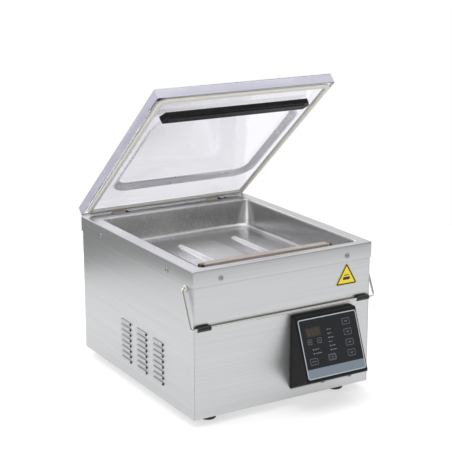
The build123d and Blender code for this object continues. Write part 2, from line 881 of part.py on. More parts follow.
def key_hole(width, height):
    return face_slab(width + 2 * key_gap, height + 2 * key_gap, key_corner, -2, 5)


def keypad_overlay():
    """Printed front film with openings for the keys and the display."""
    middle = -overlay_top - overlay_height / 2
    film = on_face(
        face_slab(overlay_width, overlay_height, overlay_corner - 0.1, -overlay_recess, overlay_proud),
        0, middle
    )
    for name, u, down, width, height in key_table():
        film -= on_face(key_hole(width, height), u, -down)
    film -= on_face(face_slab(window_width, window_height, 1.0, -2, 5), window_u, window_v)
    return film


def display_window():
    return on_face(
        face_slab(window_width, window_height, 1.0, -overlay_recess, overlay_proud), window_u, window_v
    )


def key_cap(u, down, width, height):
    """Key of the front panel, standing a little proud of the film."""
    cap = face_slab(width, height, key_corner - key_gap, -overlay_recess, overlay_proud + key_proud)
    return on_face(cap, u, -down)


def control_board():
    """Circuit board with the display and the switches, on four posts inside the housing."""
    width = housing_width - 2 * housing_wall - 8
    height = overlay_height - 16
    middle = -overlay_top - overlay_height / 2 + 3
    board = on_face(Box(width, height, board_thickness), 0, middle, -board_drop)
    board += on_face(Box(window_width, window_height, 4.4), window_u, window_v, -board_drop + 3.0)
    for u in (-width / 2 + 4, width / 2 - 4):
        for v in (-height / 2 + 4, height / 2 - 4):
            post = Cylinder(2.5, board_drop - housing_wall - board_thickness / 2)
            lift = (board_drop - housing_wall - board_thickness / 2) / 2 + board_thickness / 2
            board += on_face(post, u, middle + v, -board_drop + lift)
    return board


def housing_screws():
    """Screws under the housing that fix it to the front panel bracket."""
    slope = math.atan2(chin_z - housing_low, -half_d - chin_y)
    pieces = []
    for side in (-1, 1):
        x = housing_x + side * housing_width * 0.22
        share = 0.86
        y = -half_d + (chin_y + half_d) * share
        z = housing_low + (chin_z - housing_low) * share
        head = Pos(x, y, z) * Rot(X=-math.degrees(slope)) * Pos(0, 0, -1.1) * Cylinder(3.2, 2.2)
        pieces.append(head)
    return group(pieces)


# ---------------------------------------------------------------- drive

def drive_plate():
    """Steel plate on rubber mounts under the motor and the pump."""
    front = motor_front + 6
    rear = motor_front + motor_length + pump_gap + pump_length - 6
    return block(drive_x - 60, drive_x + 60, front, rear, plate_z, plate_z + plate_thickness)


def drive_mounts():
    front = motor_front + 22
    rear = motor_front + motor_length + pump_gap + pump_length - 22
    pieces = []
    for x in (drive_x - 45, drive_x + 45):
        for y in (front, rear):
            pieces.append(rod_z(mount_radius, pan_top, plate_z, x, y))
    return group(pieces)


def motor_housing():
    """Motor shell with end shields, standing on a cradle."""
    middle = motor_front + motor_length / 2
    shell = rod_y(motor_radius, motor_length, drive_x, middle, drive_z)
    cradle_top = drive_z - motor_radius * 0.8
    shell += block(
        drive_x - 36, drive_x + 36, middle - 45, middle + 45, plate_z + plate_thickness, cradle_top
    )
    shell -= rod_y(motor_radius - motor_wall, motor_length - 2 * motor_wall, drive_x, middle, drive_z)
    shell -= rod_y(drive_shaft_radius + running_clearance, motor_length + 2, drive_x, middle, drive_z)
    return shell


def drive_rotor():
    """Shaft with the motor rotor and the pump rotor."""
    pump_low = motor_front + motor_length + pump_gap
    end = pump_low + pump_length - 18
    start = motor_front - 10
    shaft = rod_y(drive_shaft_radius, end - start, drive_x, (start + end) / 2, drive_z)
    shaft += rod_y(rotor_radius, motor_length - 36, drive_x, motor_front + motor_length / 2, drive_z)
    shaft += rod_y(pump_rotor_radius, pump_rotor_length, drive_x, pump_low + pump_length / 2, drive_z)
    return shaft


def pump_housing():
    """Finned rotary vane pump body with an offset cavity."""
    low = motor_front + motor_length + pump_gap
    middle = low + pump_length / 2
    bottom = plate_z + plate_thickness
    x = pump_width / 2
    body = block(drive_x - x, drive_x + x, low, low + pump_length, bottom, bottom + pump_height)
    for index in range(7):
        y = low + 15 + index * (pump_length - 30) / 6
        for side in (-1, 1):
            edge = drive_x + side * x
            body -= block(edge - 6, edge + 6, y - 2.5, y + 2.5, bottom + 12, bottom + pump_height + 1)
    body -= rod_y(pump_cavity_radius, pump_rotor_length + 2, drive_x, middle, drive_z + 3)
    body -= rod_y(drive_shaft_radius + running_clearance, pump_length + 2, drive_x, middle - 16, drive_z)
    return body


def pump_top():
    return plate_z + plate_thickness + pump_height


def oil_filter():
    """Exhaust filter can lying on top of the pump."""
    low = motor_front + motor_length + pump_gap
    z = pump_top() + filter_radius
    can = rod_y(filter_radius, filter_length, drive_x - 22, low + pump_length / 2, z)
    return can & block(drive_x - 100, drive_x + 100, low, low + pump_length, pump_top(), z + filter_radius)


def vacuum_hose():
    """Hose from the suction port of the chamber to the pump inlet."""
    y = motor_front + motor_length + pump_gap + pump_length / 2
    inlet_top = pump_top()
    turn_z = inlet_top + 2 * hose_bend
    path = FilletPolyline(
        (port_x, port_y, floor_z - 21),
        (port_x, port_y, turn_z),
        (port_x, y, turn_z),
        (drive_x + 26, y, turn_z),
        (drive_x + 26, y, inlet_top),
        radius=hose_bend,
    )
    start = Plane(origin=path @ 0, z_dir=path % 0)
    return sweep(start * Circle(hose_radius), path=path)


def transformer():
    """Laminated sealing transformer on the base, with the winding round its middle limb."""
    x = transformer_width / 2
    y = transformer_depth / 2
    core = block(
        transformer_x - x, transformer_x + x, transformer_y - y / 2, transformer_y + y / 2,
        pan_top, pan_top + transformer_height,
    )
    for side in (-1, 1):
        window = transformer_x + side * x / 2
        core -= block(
            window - x / 4, window + x / 4, transformer_y - y, transformer_y + y,
            pan_top + 14, pan_top + transformer_height - 12,
        )
    low = pan_top + 15
    high = pan_top + transformer_height - 13
    coil = block(
        transformer_x - 0.7 * x, transformer_x + 0.7 * x, transformer_y - y, transformer_y + y, low, high
    )
    coil -= block(
        transformer_x - x / 4, transformer_x + x / 4, transformer_y - y / 2, transformer_y + y / 2,
        low - 1, high + 1,
    )
    return group([core, coil])


def power_board():
    """Power board on standoffs, with its relays and the vacuum sensor."""
    low = pan_top + standoff_height
    x = power_board_width / 2
    y = power_board_length / 2
    board = block(
        power_board_x - x, power_board_x + x, power_board_y - y, power_board_y + y, low, low + board_thickness
    )
    top = low + board_thickness
    for row in range(3):
        middle = power_board_y - 40 + 34 * row
        board += block(power_board_x - 44, power_board_x - 16, middle - 8, middle + 8, top, top + 15)
    board += rod_z(11, top, top + 30, power_board_x + 30, power_board_y - 30)
    board += rod_z(7, top, top + 14, power_board_x + 30, power_board_y + 24)
    for edge_x in (-x + 6, x - 6):
        for edge_y in (-y + 6, y - 6):
            board += rod_z(3, pan_top, low, power_board_x + edge_x, power_board_y + edge_y)
    return board


def valve_block():
    """Manifold with hose tails for the pump, the chamber and the lift cylinders.

    Its two solenoid coils stand on top.
    """
    manifold = block(valve_x - 36, valve_x + 36, valve_y - 16, valve_y + 16, pan_top, pan_top + 34)
    for x in (-24, 0, 24):
        manifold += rod_y(4, 14, valve_x + x, valve_y - 23, pan_top + 20)
    pieces = [manifold]
    for x in (-22, 22):
        coil = block(
            valve_x + x - 14, valve_x + x + 14, valve_y - 14, valve_y + 14, pan_top + 34, pan_top + 66
        )
        coil += rod_z(5, pan_top + 66, pan_top + 74, valve_x + x, valve_y)
        pieces.append(coil)
    return group(pieces)


# ---------------------------------------------------------------- rear services

def fan_middle_y():
    return half_d - sheet - fan_depth / 2


def fan_frame():
    y = fan_middle_y()
    frame = Pos(fan_x, y, fan_z) * Box(fan_size, fan_depth, fan_size)
    frame = fillet(frame.edges().filter_by(Axis.Y), 4)
    frame -= rod_y(fan_bore, fan_depth + 2, fan_x, y, fan_z)
    bridge_y = y - fan_depth / 2 + 2
    frame += rod_y(fan_hub, 4, fan_x, bridge_y, fan_z)
    for index in range(4):
        place = Rot(Y=45 + 90 * index) * Pos((fan_bore + fan_hub) / 2, 0, 0)
        spoke = place * Box(fan_bore - fan_hub + 4, 4, 4)
        frame += Pos(fan_x, bridge_y, fan_z) * spoke
    frame += rod_y(2, 10, fan_x, bridge_y + 6, fan_z)
    return frame


def fan_impeller():
    """Hub with pitched blades, turning on the frame's pin."""
    y = fan_middle_y() + 3
    wheel = rod_y(fan_hub, 15, fan_x, y, fan_z)
    reach = fan_bore - 1.2
    for index in range(fan_blades):
        length = reach - fan_hub + 2
        place = Rot(Y=360 / fan_blades * index) * Pos(fan_hub - 2 + length / 2, 0, 0) * Rot(X=35)
        blade = place * Box(length, 1.6, 17)
        wheel += Pos(fan_x, y, fan_z) * blade
    wheel &= rod_y(reach, 16, fan_x, y, fan_z)
    return wheel - rod_y(2 + running_clearance, 20, fan_x, y - 5, fan_z)


def fan_guard():
    """Wire finger guard over the fan opening."""
    wire = 1.1
    low = half_d
    middle = low + wire
    guard = rod_y(wire * 3, 2 * wire, fan_x, middle, fan_z)
    for radius in (12, 20, 28, fan_bore):
        hoop = rod_y(radius + wire, 2 * wire, fan_x, middle, fan_z)
        guard += hoop - rod_y(radius - wire, 8, fan_x, middle, fan_z)
    for index in range(4):
        spoke = Rot(Y=45 + 90 * index) * Pos(fan_bore / 2, 0, 0) * Box(fan_bore, 2 * wire, 2 * wire)
        guard += Pos(fan_x, middle, fan_z) * spoke
    return guard


def power_inlet():
    """Three-pin mains inlet, recessed in its flanged body."""
    rear = half_d + inlet_flange
    outer = block(inlet_x - 25, inlet_x + 25, half_d, rear, inlet_z - 12, inlet_z + 12)
    outer += block(inlet_x - 13.5, inlet_x + 13.5, half_d - 22, rear, inlet_z - 9.8, inlet_z + 9.8)
    outer -= block(inlet_x - 12, inlet_x + 12, half_d - 15, rear + 1, inlet_z - 8.2, inlet_z + 8.2)
    for x, z in ((-7, -2), (7, -2), (0, 2)):
        outer += block(
            inlet_x + x - 1, inlet_x + x + 1, half_d - 16, half_d - 1, inlet_z + z - 2, inlet_z + z + 2
        )
    return outer


def switch_frame():
    """Flanged body of the mains switch."""
    rear = half_d + switch_flange
    outer = block(switch_x - 13, switch_x + 13, half_d, rear, switch_z - 15, switch_z + 15)
    outer += block(switch_x - 11, switch_x + 11, half_d - 18, rear, switch_z - 13, switch_z + 13)
    room = rocker_radius + 0.4
    y = half_d - rocker_set
    outer -= block(
        switch_x - rocker_width / 2 - 0.3, switch_x + rocker_width / 2 + 0.3, y - room, rear + 1,
        switch_z - room, switch_z + room,
    )
    return outer


def switch_rocker():
    """Rocker with two flat wings, shown pressed at its lower side."""
    y = half_d - rocker_set
    body = Rot(Y=90) * Cylinder(rocker_radius, rocker_width)
    for wing in (-1, 1):
        cutter = Rot(X=wing * rocker_tilt) * Pos(0, 5.2 + 20, wing * 20) * Box(40, 40, 40)
        body -= cutter
    return Pos(switch_x, y, switch_z) * Rot(X=-rocker_tilt) * body


# ---------------------------------------------------------------- lid switch and label

def lid_switch_body():
    """Microswitch under the cover, on a small bracket from the rear panel."""
    high = top_z - cover_sheet - lid_switch_drop
    body = block(lid_switch_x - 3.2, lid_switch_x + 14, lid_switch_y - 6, half_d - sheet, high - 12, high)
    hole = plunger_radius + running_clearance
    return body - rod_z(hole, high - plunger_travel - 2, high + 1, lid_switch_x, lid_switch_y)


def lid_switch_plunger():
    """Round pin that the lid reaches when the gasket is drawn down by the vacuum."""
    low = top_z - cover_sheet - lid_switch_drop - 1.5
    pin = rod_z(plunger_radius, low, top_z + plunger_proud, lid_switch_x, lid_switch_y)
    return fillet(pin.edges().group_by(Axis.Z)[-1], 1.0)


def triangle_plate():
    """Plain triangular sign on the front panel."""
    low = top_z - label_low_drop
    height = label_side * math.sqrt(3) / 2
    points = [(-label_side / 2, 0), (label_side / 2, 0), (0, height)]
    outline = make_face(Plane.XZ * Polyline(*points, close=True))
    plate = Pos(label_x, -half_d, low) * extrude(outline, label_thickness, dir=(0, -1, 0))
    return fillet(plate.edges().filter_by(Axis.Y), 2.0)


nodes = {
    "base_pan": base_pan(),
    "rubber_feet": rubber_feet(),
    "left_side_panel": side_panel(-1),
    "right_side_panel": side_panel(1),
    "front_panel": front_panel(),
    "rear_panel": rear_panel(),
    "top_cover": top_cover(),
    "cover_screws": cover_screws(),
    "vacuum_chamber": vacuum_chamber(),
    "suction_grid": suction_grid(),
    "seal_bar_beam": seal_bar_beam(),
    "seal_wire": seal_wire(),
    "seal_tape": seal_tape(),
    "seal_terminals": seal_terminals(),
    "lift_pistons": lift_pistons(),
    "lift_cylinders": lift_cylinders(),
    "acrylic_lid": acrylic_lid(),
    "lid_gasket": lid_gasket(),
    "counter_bar_holder": counter_bar_holder(),
    "counter_bar_silicone": counter_bar_silicone(),
    "hinge_blocks": group([hinge_block(-1), hinge_block(1)]),
    "hinge_screws": hinge_screws(),
    "hinge_shaft": hinge_shaft(),
    "hinge_brackets": group([hinge_bracket(-1), hinge_bracket(1)]),
    "lid_springs": lid_springs(),
    "bail_wire": bail_wire(),
    "bail_sleeves": group([bail_sleeve(-1), bail_sleeve(1)]),
    "bail_bushes": bail_bushes(),
    "control_housing": control_housing(),
    "keypad_overlay": keypad_overlay(),
    "display_window": display_window(),
    "control_board": control_board(),
    "housing_screws": housing_screws(),
    "drive_plate": drive_plate(),
    "drive_mounts": drive_mounts(),
    "motor_housing": motor_housing(),
    "drive_rotor": drive_rotor(),
    "pump_housing": pump_housing(),
    "oil_filter": oil_filter(),
    "vacuum_hose": vacuum_hose(),
    "transformer": transformer(),
    "power_board": power_board(),
    "valve_block": valve_block(),
    "fan_frame": fan_frame(),
    "fan_impeller": fan_impeller(),
    "fan_guard": fan_guard(),
    "power_inlet": power_inlet(),
    "switch_frame": switch_frame(),
    "switch_rocker": switch_rocker(),
    "lid_switch_body": lid_switch_body(),
    "lid_switch_plunger": lid_switch_plunger(),
    "triangle_plate": triangle_plate(),
}
for name, u, down, width, height in key_table():
    nodes[name] = key_cap(u, down, width, height)

os.makedirs("parts", exist_ok=True)
for name, shape in nodes.items():
    export_step(shape, f"parts/{name}.step")
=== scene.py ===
"""Looks of a table-top chamber vacuum packing machine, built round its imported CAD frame."""
import math

import bmesh
import bpy
from bpy.props import FloatProperty, FloatVectorProperty, PointerProperty
from mathutils import Matrix, Vector


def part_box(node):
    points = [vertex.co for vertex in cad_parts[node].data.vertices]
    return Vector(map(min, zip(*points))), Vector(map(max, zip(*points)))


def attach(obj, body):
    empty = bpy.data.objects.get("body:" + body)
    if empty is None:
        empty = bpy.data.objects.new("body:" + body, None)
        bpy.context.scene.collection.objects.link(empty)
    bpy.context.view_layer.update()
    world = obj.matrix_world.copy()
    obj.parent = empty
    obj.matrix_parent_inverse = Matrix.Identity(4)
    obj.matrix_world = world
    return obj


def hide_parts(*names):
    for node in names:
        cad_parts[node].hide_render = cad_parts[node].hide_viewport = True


bl_info = {
    "name": "Vacuum packing machine",
    "version": (1, 0, 0),
    "blender": (4, 5, 0),
    "location": "3D Viewport > Sidebar > Packing machine",
    "description": "Builds the cover, chamber, lid, keypad and finishes of a vacuum packing machine",
    "category": "Add Mesh",
}

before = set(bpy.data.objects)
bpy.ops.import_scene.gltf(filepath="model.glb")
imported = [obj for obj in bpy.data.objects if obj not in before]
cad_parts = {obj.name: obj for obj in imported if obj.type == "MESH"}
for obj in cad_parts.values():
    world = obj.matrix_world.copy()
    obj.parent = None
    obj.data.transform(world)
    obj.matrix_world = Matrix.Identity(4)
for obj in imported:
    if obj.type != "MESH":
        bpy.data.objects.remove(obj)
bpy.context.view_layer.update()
MM = 0.001
FILM_PROUD = 0.3 * MM        # front film above the housing face
KEY_PROUD = 0.6 * MM         # key caps above the housing face


def linear(code):
    """Linear RGBA of an sRGB hex colour."""
    parts = [int(code[i:i + 2], 16) / 255 for i in (0, 2, 4)]
    return (*[p / 12.92 if p <= 0.04045 else ((p + 0.055) / 1.055) ** 2.4 for p in parts], 1.0)


def length(name, text, default, **more):
    """A size in metres, given in millimetres."""
    return FloatProperty(
        name=name, description=text, default=default * MM, unit="LENGTH", precision=5, **more
    )


def colour(name, text, code):
    return FloatVectorProperty(
        name=name, description=text, default=linear(code), size=4, subtype="COLOR", min=0, max=1
    )


# ---------------------------------------------------------------- sizes and colours a user may change

class CoverSettings(bpy.types.PropertyGroup):
    edge_round: length("Edge round", "Outer radius of the folded top edge", 2.5)
    corner: length("Corner", "Plan radius of the cover's corners", 3.0)
    rim_round: length("Rim round", "Radius of the roll where the cover turns down into the chamber", 3.2)
    sheet: length("Sheet", "Thickness of the stainless sheet", 1.5)
    slot_half: length("Slot", "Half width of each hinge slot", 15.5)
    slot_front: length("Slot front", "Where the hinge slots start, from the middle of the machine", 187.0)
    notch: length("Notch", "Depth of the hinge slots down the rear skirt", 20.0)
    arm: length("Arm", "Width of each hinge arm", 26.0)
    pin_gap: length("Pin gap", "Space round the lid switch pin", 0.3)
    front_screws: length("Front screws", "Middle of the machine to each front screw", 125.0)
    rear_screws: length("Rear screws", "Middle of the machine to each rear screw", 146.0)
    side_screws: length("Side screws", "Middle of the machine to each side screw, front to back", 124.0)
    screw_rise: length("Screw rise", "Height of a screw head", 2.2)
    screw_slit: length("Screw slit", "Half width of the cross in a screw head", 0.55)
    steel: colour("Steel", "Colour of the brushed stainless sheet", "CBCCCD")


class ChamberSettings(bpy.types.PropertyGroup):
    width: length("Width", "Chamber opening across", 308.0)
    depth_y: length("Length", "Chamber opening front to back", 357.0)
    middle_y: length("Middle", "Middle of the chamber, front to back", -15.5)
    deep: length("Depth", "Cover top to chamber floor", 50.0)
    corner: length("Rim corner", "Plan radius of the opening's corners", 8.0)
    floor_corner: length("Floor corner", "Plan radius of the corners at the floor", 26.0)
    draft: length("Draft", "How far each wall leans in", 5.0)
    floor_round: length("Floor round", "Radius between wall and floor", 9.0)
    pad_height: length("Pad height", "Height of the pressed floor pads", 4.0)
    pad_slope: length("Pad slope", "Width of the sloping edge of a pad", 7.0)
    pad_length: length("Pad length", "Floor pads front to back", 228.0)
    pad_middle: length("Pad middle", "Middle of the floor pads", -16.0)
    middle_pad: length("Middle pad", "Width of the middle pad", 80.0)
    side_pad: length("Side pad", "Width of each side pad", 47.0)
    side_pad_x: length("Side pad x", "Middle of the machine to the middle of each side pad", 98.5)
    pad_corner: length("Pad corner", "Plan radius of the pads", 12.0)
    steel: colour("Steel", "Colour of the drawn stainless tub", "CDCDCD")


class LidSettings(bpy.types.PropertyGroup):
    width: length("Width", "Lid across", 349.0)
    front: length("Front", "Front edge of the closed lid", -209.0)
    rear: length("Rear", "Rear edge of the closed lid", 196.6)
    thick: length("Thickness", "Acrylic sheet thickness", 18.6)
    under: length("Underside", "Height of the closed lid's underside", 274.3)
    corner: length("Corner", "Plan radius of the corners", 3.0)
    edge: length("Edge", "Radius of the polished edges", 1.5)
    opening: FloatProperty(
        name="Opening", description="Angle of the open lid at rest", default=math.radians(40.5),
        subtype="ANGLE"
    )
    hinge_y: length("Hinge y", "Hinge axis, front to back", 194.6)
    hinge_z: length("Hinge z", "Hinge axis height", 246.7)
    recess_width: length("Recess width", "Milled recess across", 292.0)
    recess_front: length("Recess front", "Front end of the recess", -130.0)
    recess_rear: length("Recess rear", "Rear end of the recess", 106.6)
    recess_deep: length("Recess depth", "Depth of the recess", 8.0)
    recess_corner: length("Recess corner", "Plan radius of the recess", 32.0)
    recess_run: length("Recess run", "Width of the soft slope round the recess", 15.0)
    recess_lip: length("Recess lip", "How far the slope starts outside the recess", 4.0)
    gasket_width: length("Gasket width", "Width of the silicone seal", 9.0)
    gasket_proud: length("Gasket height", "How far the seal stands out", 4.0)
    groove: length("Groove", "How deep the seal sits in the lid", 4.0)
    side_margin: length("Side margin", "Lid side to the seal", 5.0)
    front_margin: length("Front margin", "Lid front to the seal", 4.0)
    rear_margin: length("Rear margin", "Lid rear to the seal", 12.0)
    gasket_corner: length("Seal corner", "Outer plan radius of the seal", 14.0)
    tint: colour("Tint", "Faint cold tint of the acrylic", "F7F6FC")
    edge_tint: colour("Edge tint", "Milky lilac of the lid's sawn edges", "C3C3D2")


class KeypadSettings(bpy.types.PropertyGroup):
    tilt: FloatProperty(
        name="Tilt", description="Lean of the keypad face", default=math.radians(21.5), subtype="ANGLE"
    )
    width: length("Film width", "Front film across", 119.5)
    height: length("Film height", "Front film down the slope", 101.5)
    top: length("Film top", "Housing top edge to the film", 5.6)
    corner: length("Film corner", "Corner radius of the film", 4.0)
    border: length("Border", "Width of the pale border line", 1.7)
    band: length("Band", "Height of the grey band at the bottom", 15.0)
    film_colour: colour("Film", "Dark printed face", "1A1C20")
    border_colour: colour("Border", "Pale printed line", "A2ABB1")
    band_colour: colour("Band", "Grey blue printed band", "6E7A84")


class StageSettings(bpy.types.PropertyGroup):
    glow: colour("Floor glow", "Light that comes up through the opal floor", "FFFFFF")
    opal: colour("Floor", "Colour of the opal floor", "BABABA")
    key: FloatProperty(
        name="Overhead light", description="Power of the overhead soft box", default=24.0, unit="POWER",
        min=0
    )
    fill: FloatProperty(
        name="Side light", description="Power of the soft box on the left", default=8.0, unit="POWER",
        min=0
    )
    rim: FloatProperty(
        name="Back light", description="Power of the soft box behind", default=8.0, unit="POWER", min=0
    )
    room: FloatProperty(name="Room", description="Strength of the even room light", default=1.05, min=0)


SETTINGS = {
    "cover": CoverSettings,
    "chamber": ChamberSettings,
    "lid": LidSettings,
    "keypad": KeypadSettings,
    "stage": StageSettings,
}


class MachineSettings(bpy.types.PropertyGroup):
    cover: PointerProperty(type=CoverSettings)
    chamber: PointerProperty(type=ChamberSettings)
    lid: PointerProperty(type=LidSettings)
    keypad: PointerProperty(type=KeypadSettings)
    stage: PointerProperty(type=StageSettings)


# ---------------------------------------------------------------- materials

def add(tree, kind, inputs=None, **settings):
    """Adds a node, sets its settings, and links or fills its inputs."""
    node = tree.nodes.new(kind)
    for name, value in settings.items():
        setattr(node, name, value)
    for socket, value in (inputs or {}).items():
        if isinstance(value, bpy.types.NodeSocket):
            tree.links.new(value, node.inputs[socket])
        else:
            node.inputs[socket].default_value = value
    return node


def surface(name, base, roughness, grain=1.0, height=0.01, patch=50.0, shift=0.05, spread=0.05,
            stretch=(1, 1, 1), edge=0.0, **sockets):
    """A finish with slow changes of tone over patch mm, and a fine relief.

    The relief is grain mm across and height mm high. stretch draws the grain out along an axis, and
    edge mm softens the light on sharp edges.
    """
    material = bpy.data.materials.new(name)
    material.use_nodes = True
    tree = material.node_tree
    tree.nodes.clear()
    place = add(tree, "ShaderNodeTexCoord").outputs["Object"]
    slow = add(tree, "ShaderNodeTexNoise", {"Vector": place, "Scale": 1000 / patch, "Detail": 3.0})
    drawn = add(tree, "ShaderNodeMapping", {"Vector": place, "Scale": stretch})
    fine = add(
        tree, "ShaderNodeTexNoise", {"Vector": drawn.outputs[0], "Scale": 1000 / grain, "Detail": 2.0}
    )
    level = add(
        tree, "ShaderNodeMapRange", {"Value": slow.outputs[0], "To Min": 1 - shift, "To Max": 1 + shift}
    )
    tone = add(tree, "ShaderNodeVectorMath", {0: base[:3], "Scale": level.outputs[0]}, operation="SCALE")
    rough = add(tree, "ShaderNodeMapRange", {
        "Value": fine.outputs[0], "From Min": 0.3, "From Max": 0.7,
        "To Min": max(0, roughness - spread), "To Max": min(1, roughness + spread),
    })
    bump = add(
        tree, "ShaderNodeBump", {"Height": fine.outputs[0], "Strength": 1.0, "Distance": height * MM}
    )
    if edge:
        soft = add(tree, "ShaderNodeBevel", {"Radius": edge * MM}, samples=4)
        tree.links.new(soft.outputs[0], bump.inputs["Normal"])
    shader = add(tree, "ShaderNodeBsdfPrincipled", {
        "Base Color": tone.outputs[0], "Roughness": rough.outputs[0], "Normal": bump.outputs[0],
        **{k.replace("_", " "): v for k, v in sockets.items()},
    })
    add(tree, "ShaderNodeOutputMaterial", {"Surface": shader.outputs[0]})
    return material


def brushed_stainless(base):
    """Stainless sheet, grit-brushed along its length: long fine lines that stretch every reflection."""
    material = bpy.data.materials.new("stainless_brushed")
    material.use_nodes = True
    tree = material.node_tree
    tree.nodes.clear()
    source = add(tree, "ShaderNodeTexCoord")
    split = add(tree, "ShaderNodeSeparateXYZ", {0: source.outputs["Object"]})
    normal = add(tree, "ShaderNodeSeparateXYZ", {0: source.outputs["Normal"]})
    upright = add(tree, "ShaderNodeMath", {0: normal.outputs["Z"]}, operation="ABSOLUTE")
    flat = add(tree, "ShaderNodeMath", {0: upright.outputs[0], 1: 0.7}, operation="GREATER_THAN")
    # brush lines of 180 grit are 0.1 mm apart; drawn 0.9 mm apart so that they show
    across, along = 1 / (0.9 * MM), 3.0
    pace = add(tree, "ShaderNodeMapRange", {"Value": flat.outputs[0], "To Min": along, "To Max": across})
    places = [
        add(tree, "ShaderNodeMath", {0: split.outputs["X"], 1: along}, operation="MULTIPLY"),
        add(tree, "ShaderNodeMath", {0: split.outputs["Y"], 1: pace.outputs[0]}, operation="MULTIPLY"),
        add(tree, "ShaderNodeMath", {0: split.outputs["Z"], 1: across}, operation="MULTIPLY"),
    ]
    lines = add(tree, "ShaderNodeCombineXYZ", {i: p.outputs[0] for i, p in enumerate(places)})
    streak = add(
        tree, "ShaderNodeTexNoise",
        {"Vector": lines.outputs[0], "Scale": 1.0, "Detail": 4.0, "Roughness": 0.7}
    )
    slow = add(
        tree, "ShaderNodeTexNoise", {"Vector": source.outputs["Object"], "Scale": 9.0, "Detail": 2.0}
    )
    tone = add(tree, "ShaderNodeMapRange", {
        "Value": streak.outputs[0], "From Min": 0.25, "From Max": 0.75, "To Min": 0.78, "To Max": 1.0})
    # painted shade: ambient occlusion within 4 mm darkens the colour in folds, seams and gaps, where shade
    # falls
    crease_shade = add(tree, "ShaderNodeAmbientOcclusion", {"Distance": 4 * MM}, samples=8)
    dark = add(tree, "ShaderNodeMapRange", {
        "Value": crease_shade.outputs["AO"], "From Min": 0.4, "From Max": 0.97, "To Min": 0.4, "To Max": 1.0})
    # brush streaks times the painted shade of the creases
    both = add(tree, "ShaderNodeMath", {0: tone.outputs[0], 1: dark.outputs[0]}, operation="MULTIPLY")
    shade = add(tree, "ShaderNodeVectorMath", {0: base[:3], "Scale": both.outputs[0]}, operation="SCALE")
    rough = add(tree, "ShaderNodeMapRange", {"Value": streak.outputs[0], "To Min": 0.24, "To Max": 0.44})
    wave = add(
        tree, "ShaderNodeBump", {"Height": slow.outputs[0], "Strength": 1.0, "Distance": 0.25 * MM}
    )
    bump = add(tree, "ShaderNodeBump", {
        "Height": streak.outputs[0], "Strength": 0.6, "Distance": 0.02 * MM, "Normal": wave.outputs[0]})
    tangent = add(tree, "ShaderNodeTangent", direction_type="RADIAL", axis="Z")
    shader = add(tree, "ShaderNodeBsdfPrincipled", {
        "Base Color": shade.outputs[0], "Metallic": 1.0, "Roughness": rough.outputs[0],
        "Anisotropic": 0.55, "Normal": bump.outputs[0], "Tangent": tangent.outputs[0]})
    add(tree, "ShaderNodeOutputMaterial", {"Surface": shader.outputs[0]})
    return material


FINISHES = {}


def finish(name):
    """A material from the list below, made once."""
    if name not in FINISHES:
        code, roughness, settings = RECIPES[name]
        FINISHES[name] = surface(name, linear(code), roughness, **settings)
    return FINISHES[name]


def metal(**settings):
    return {"Metallic": 1.0, **settings}


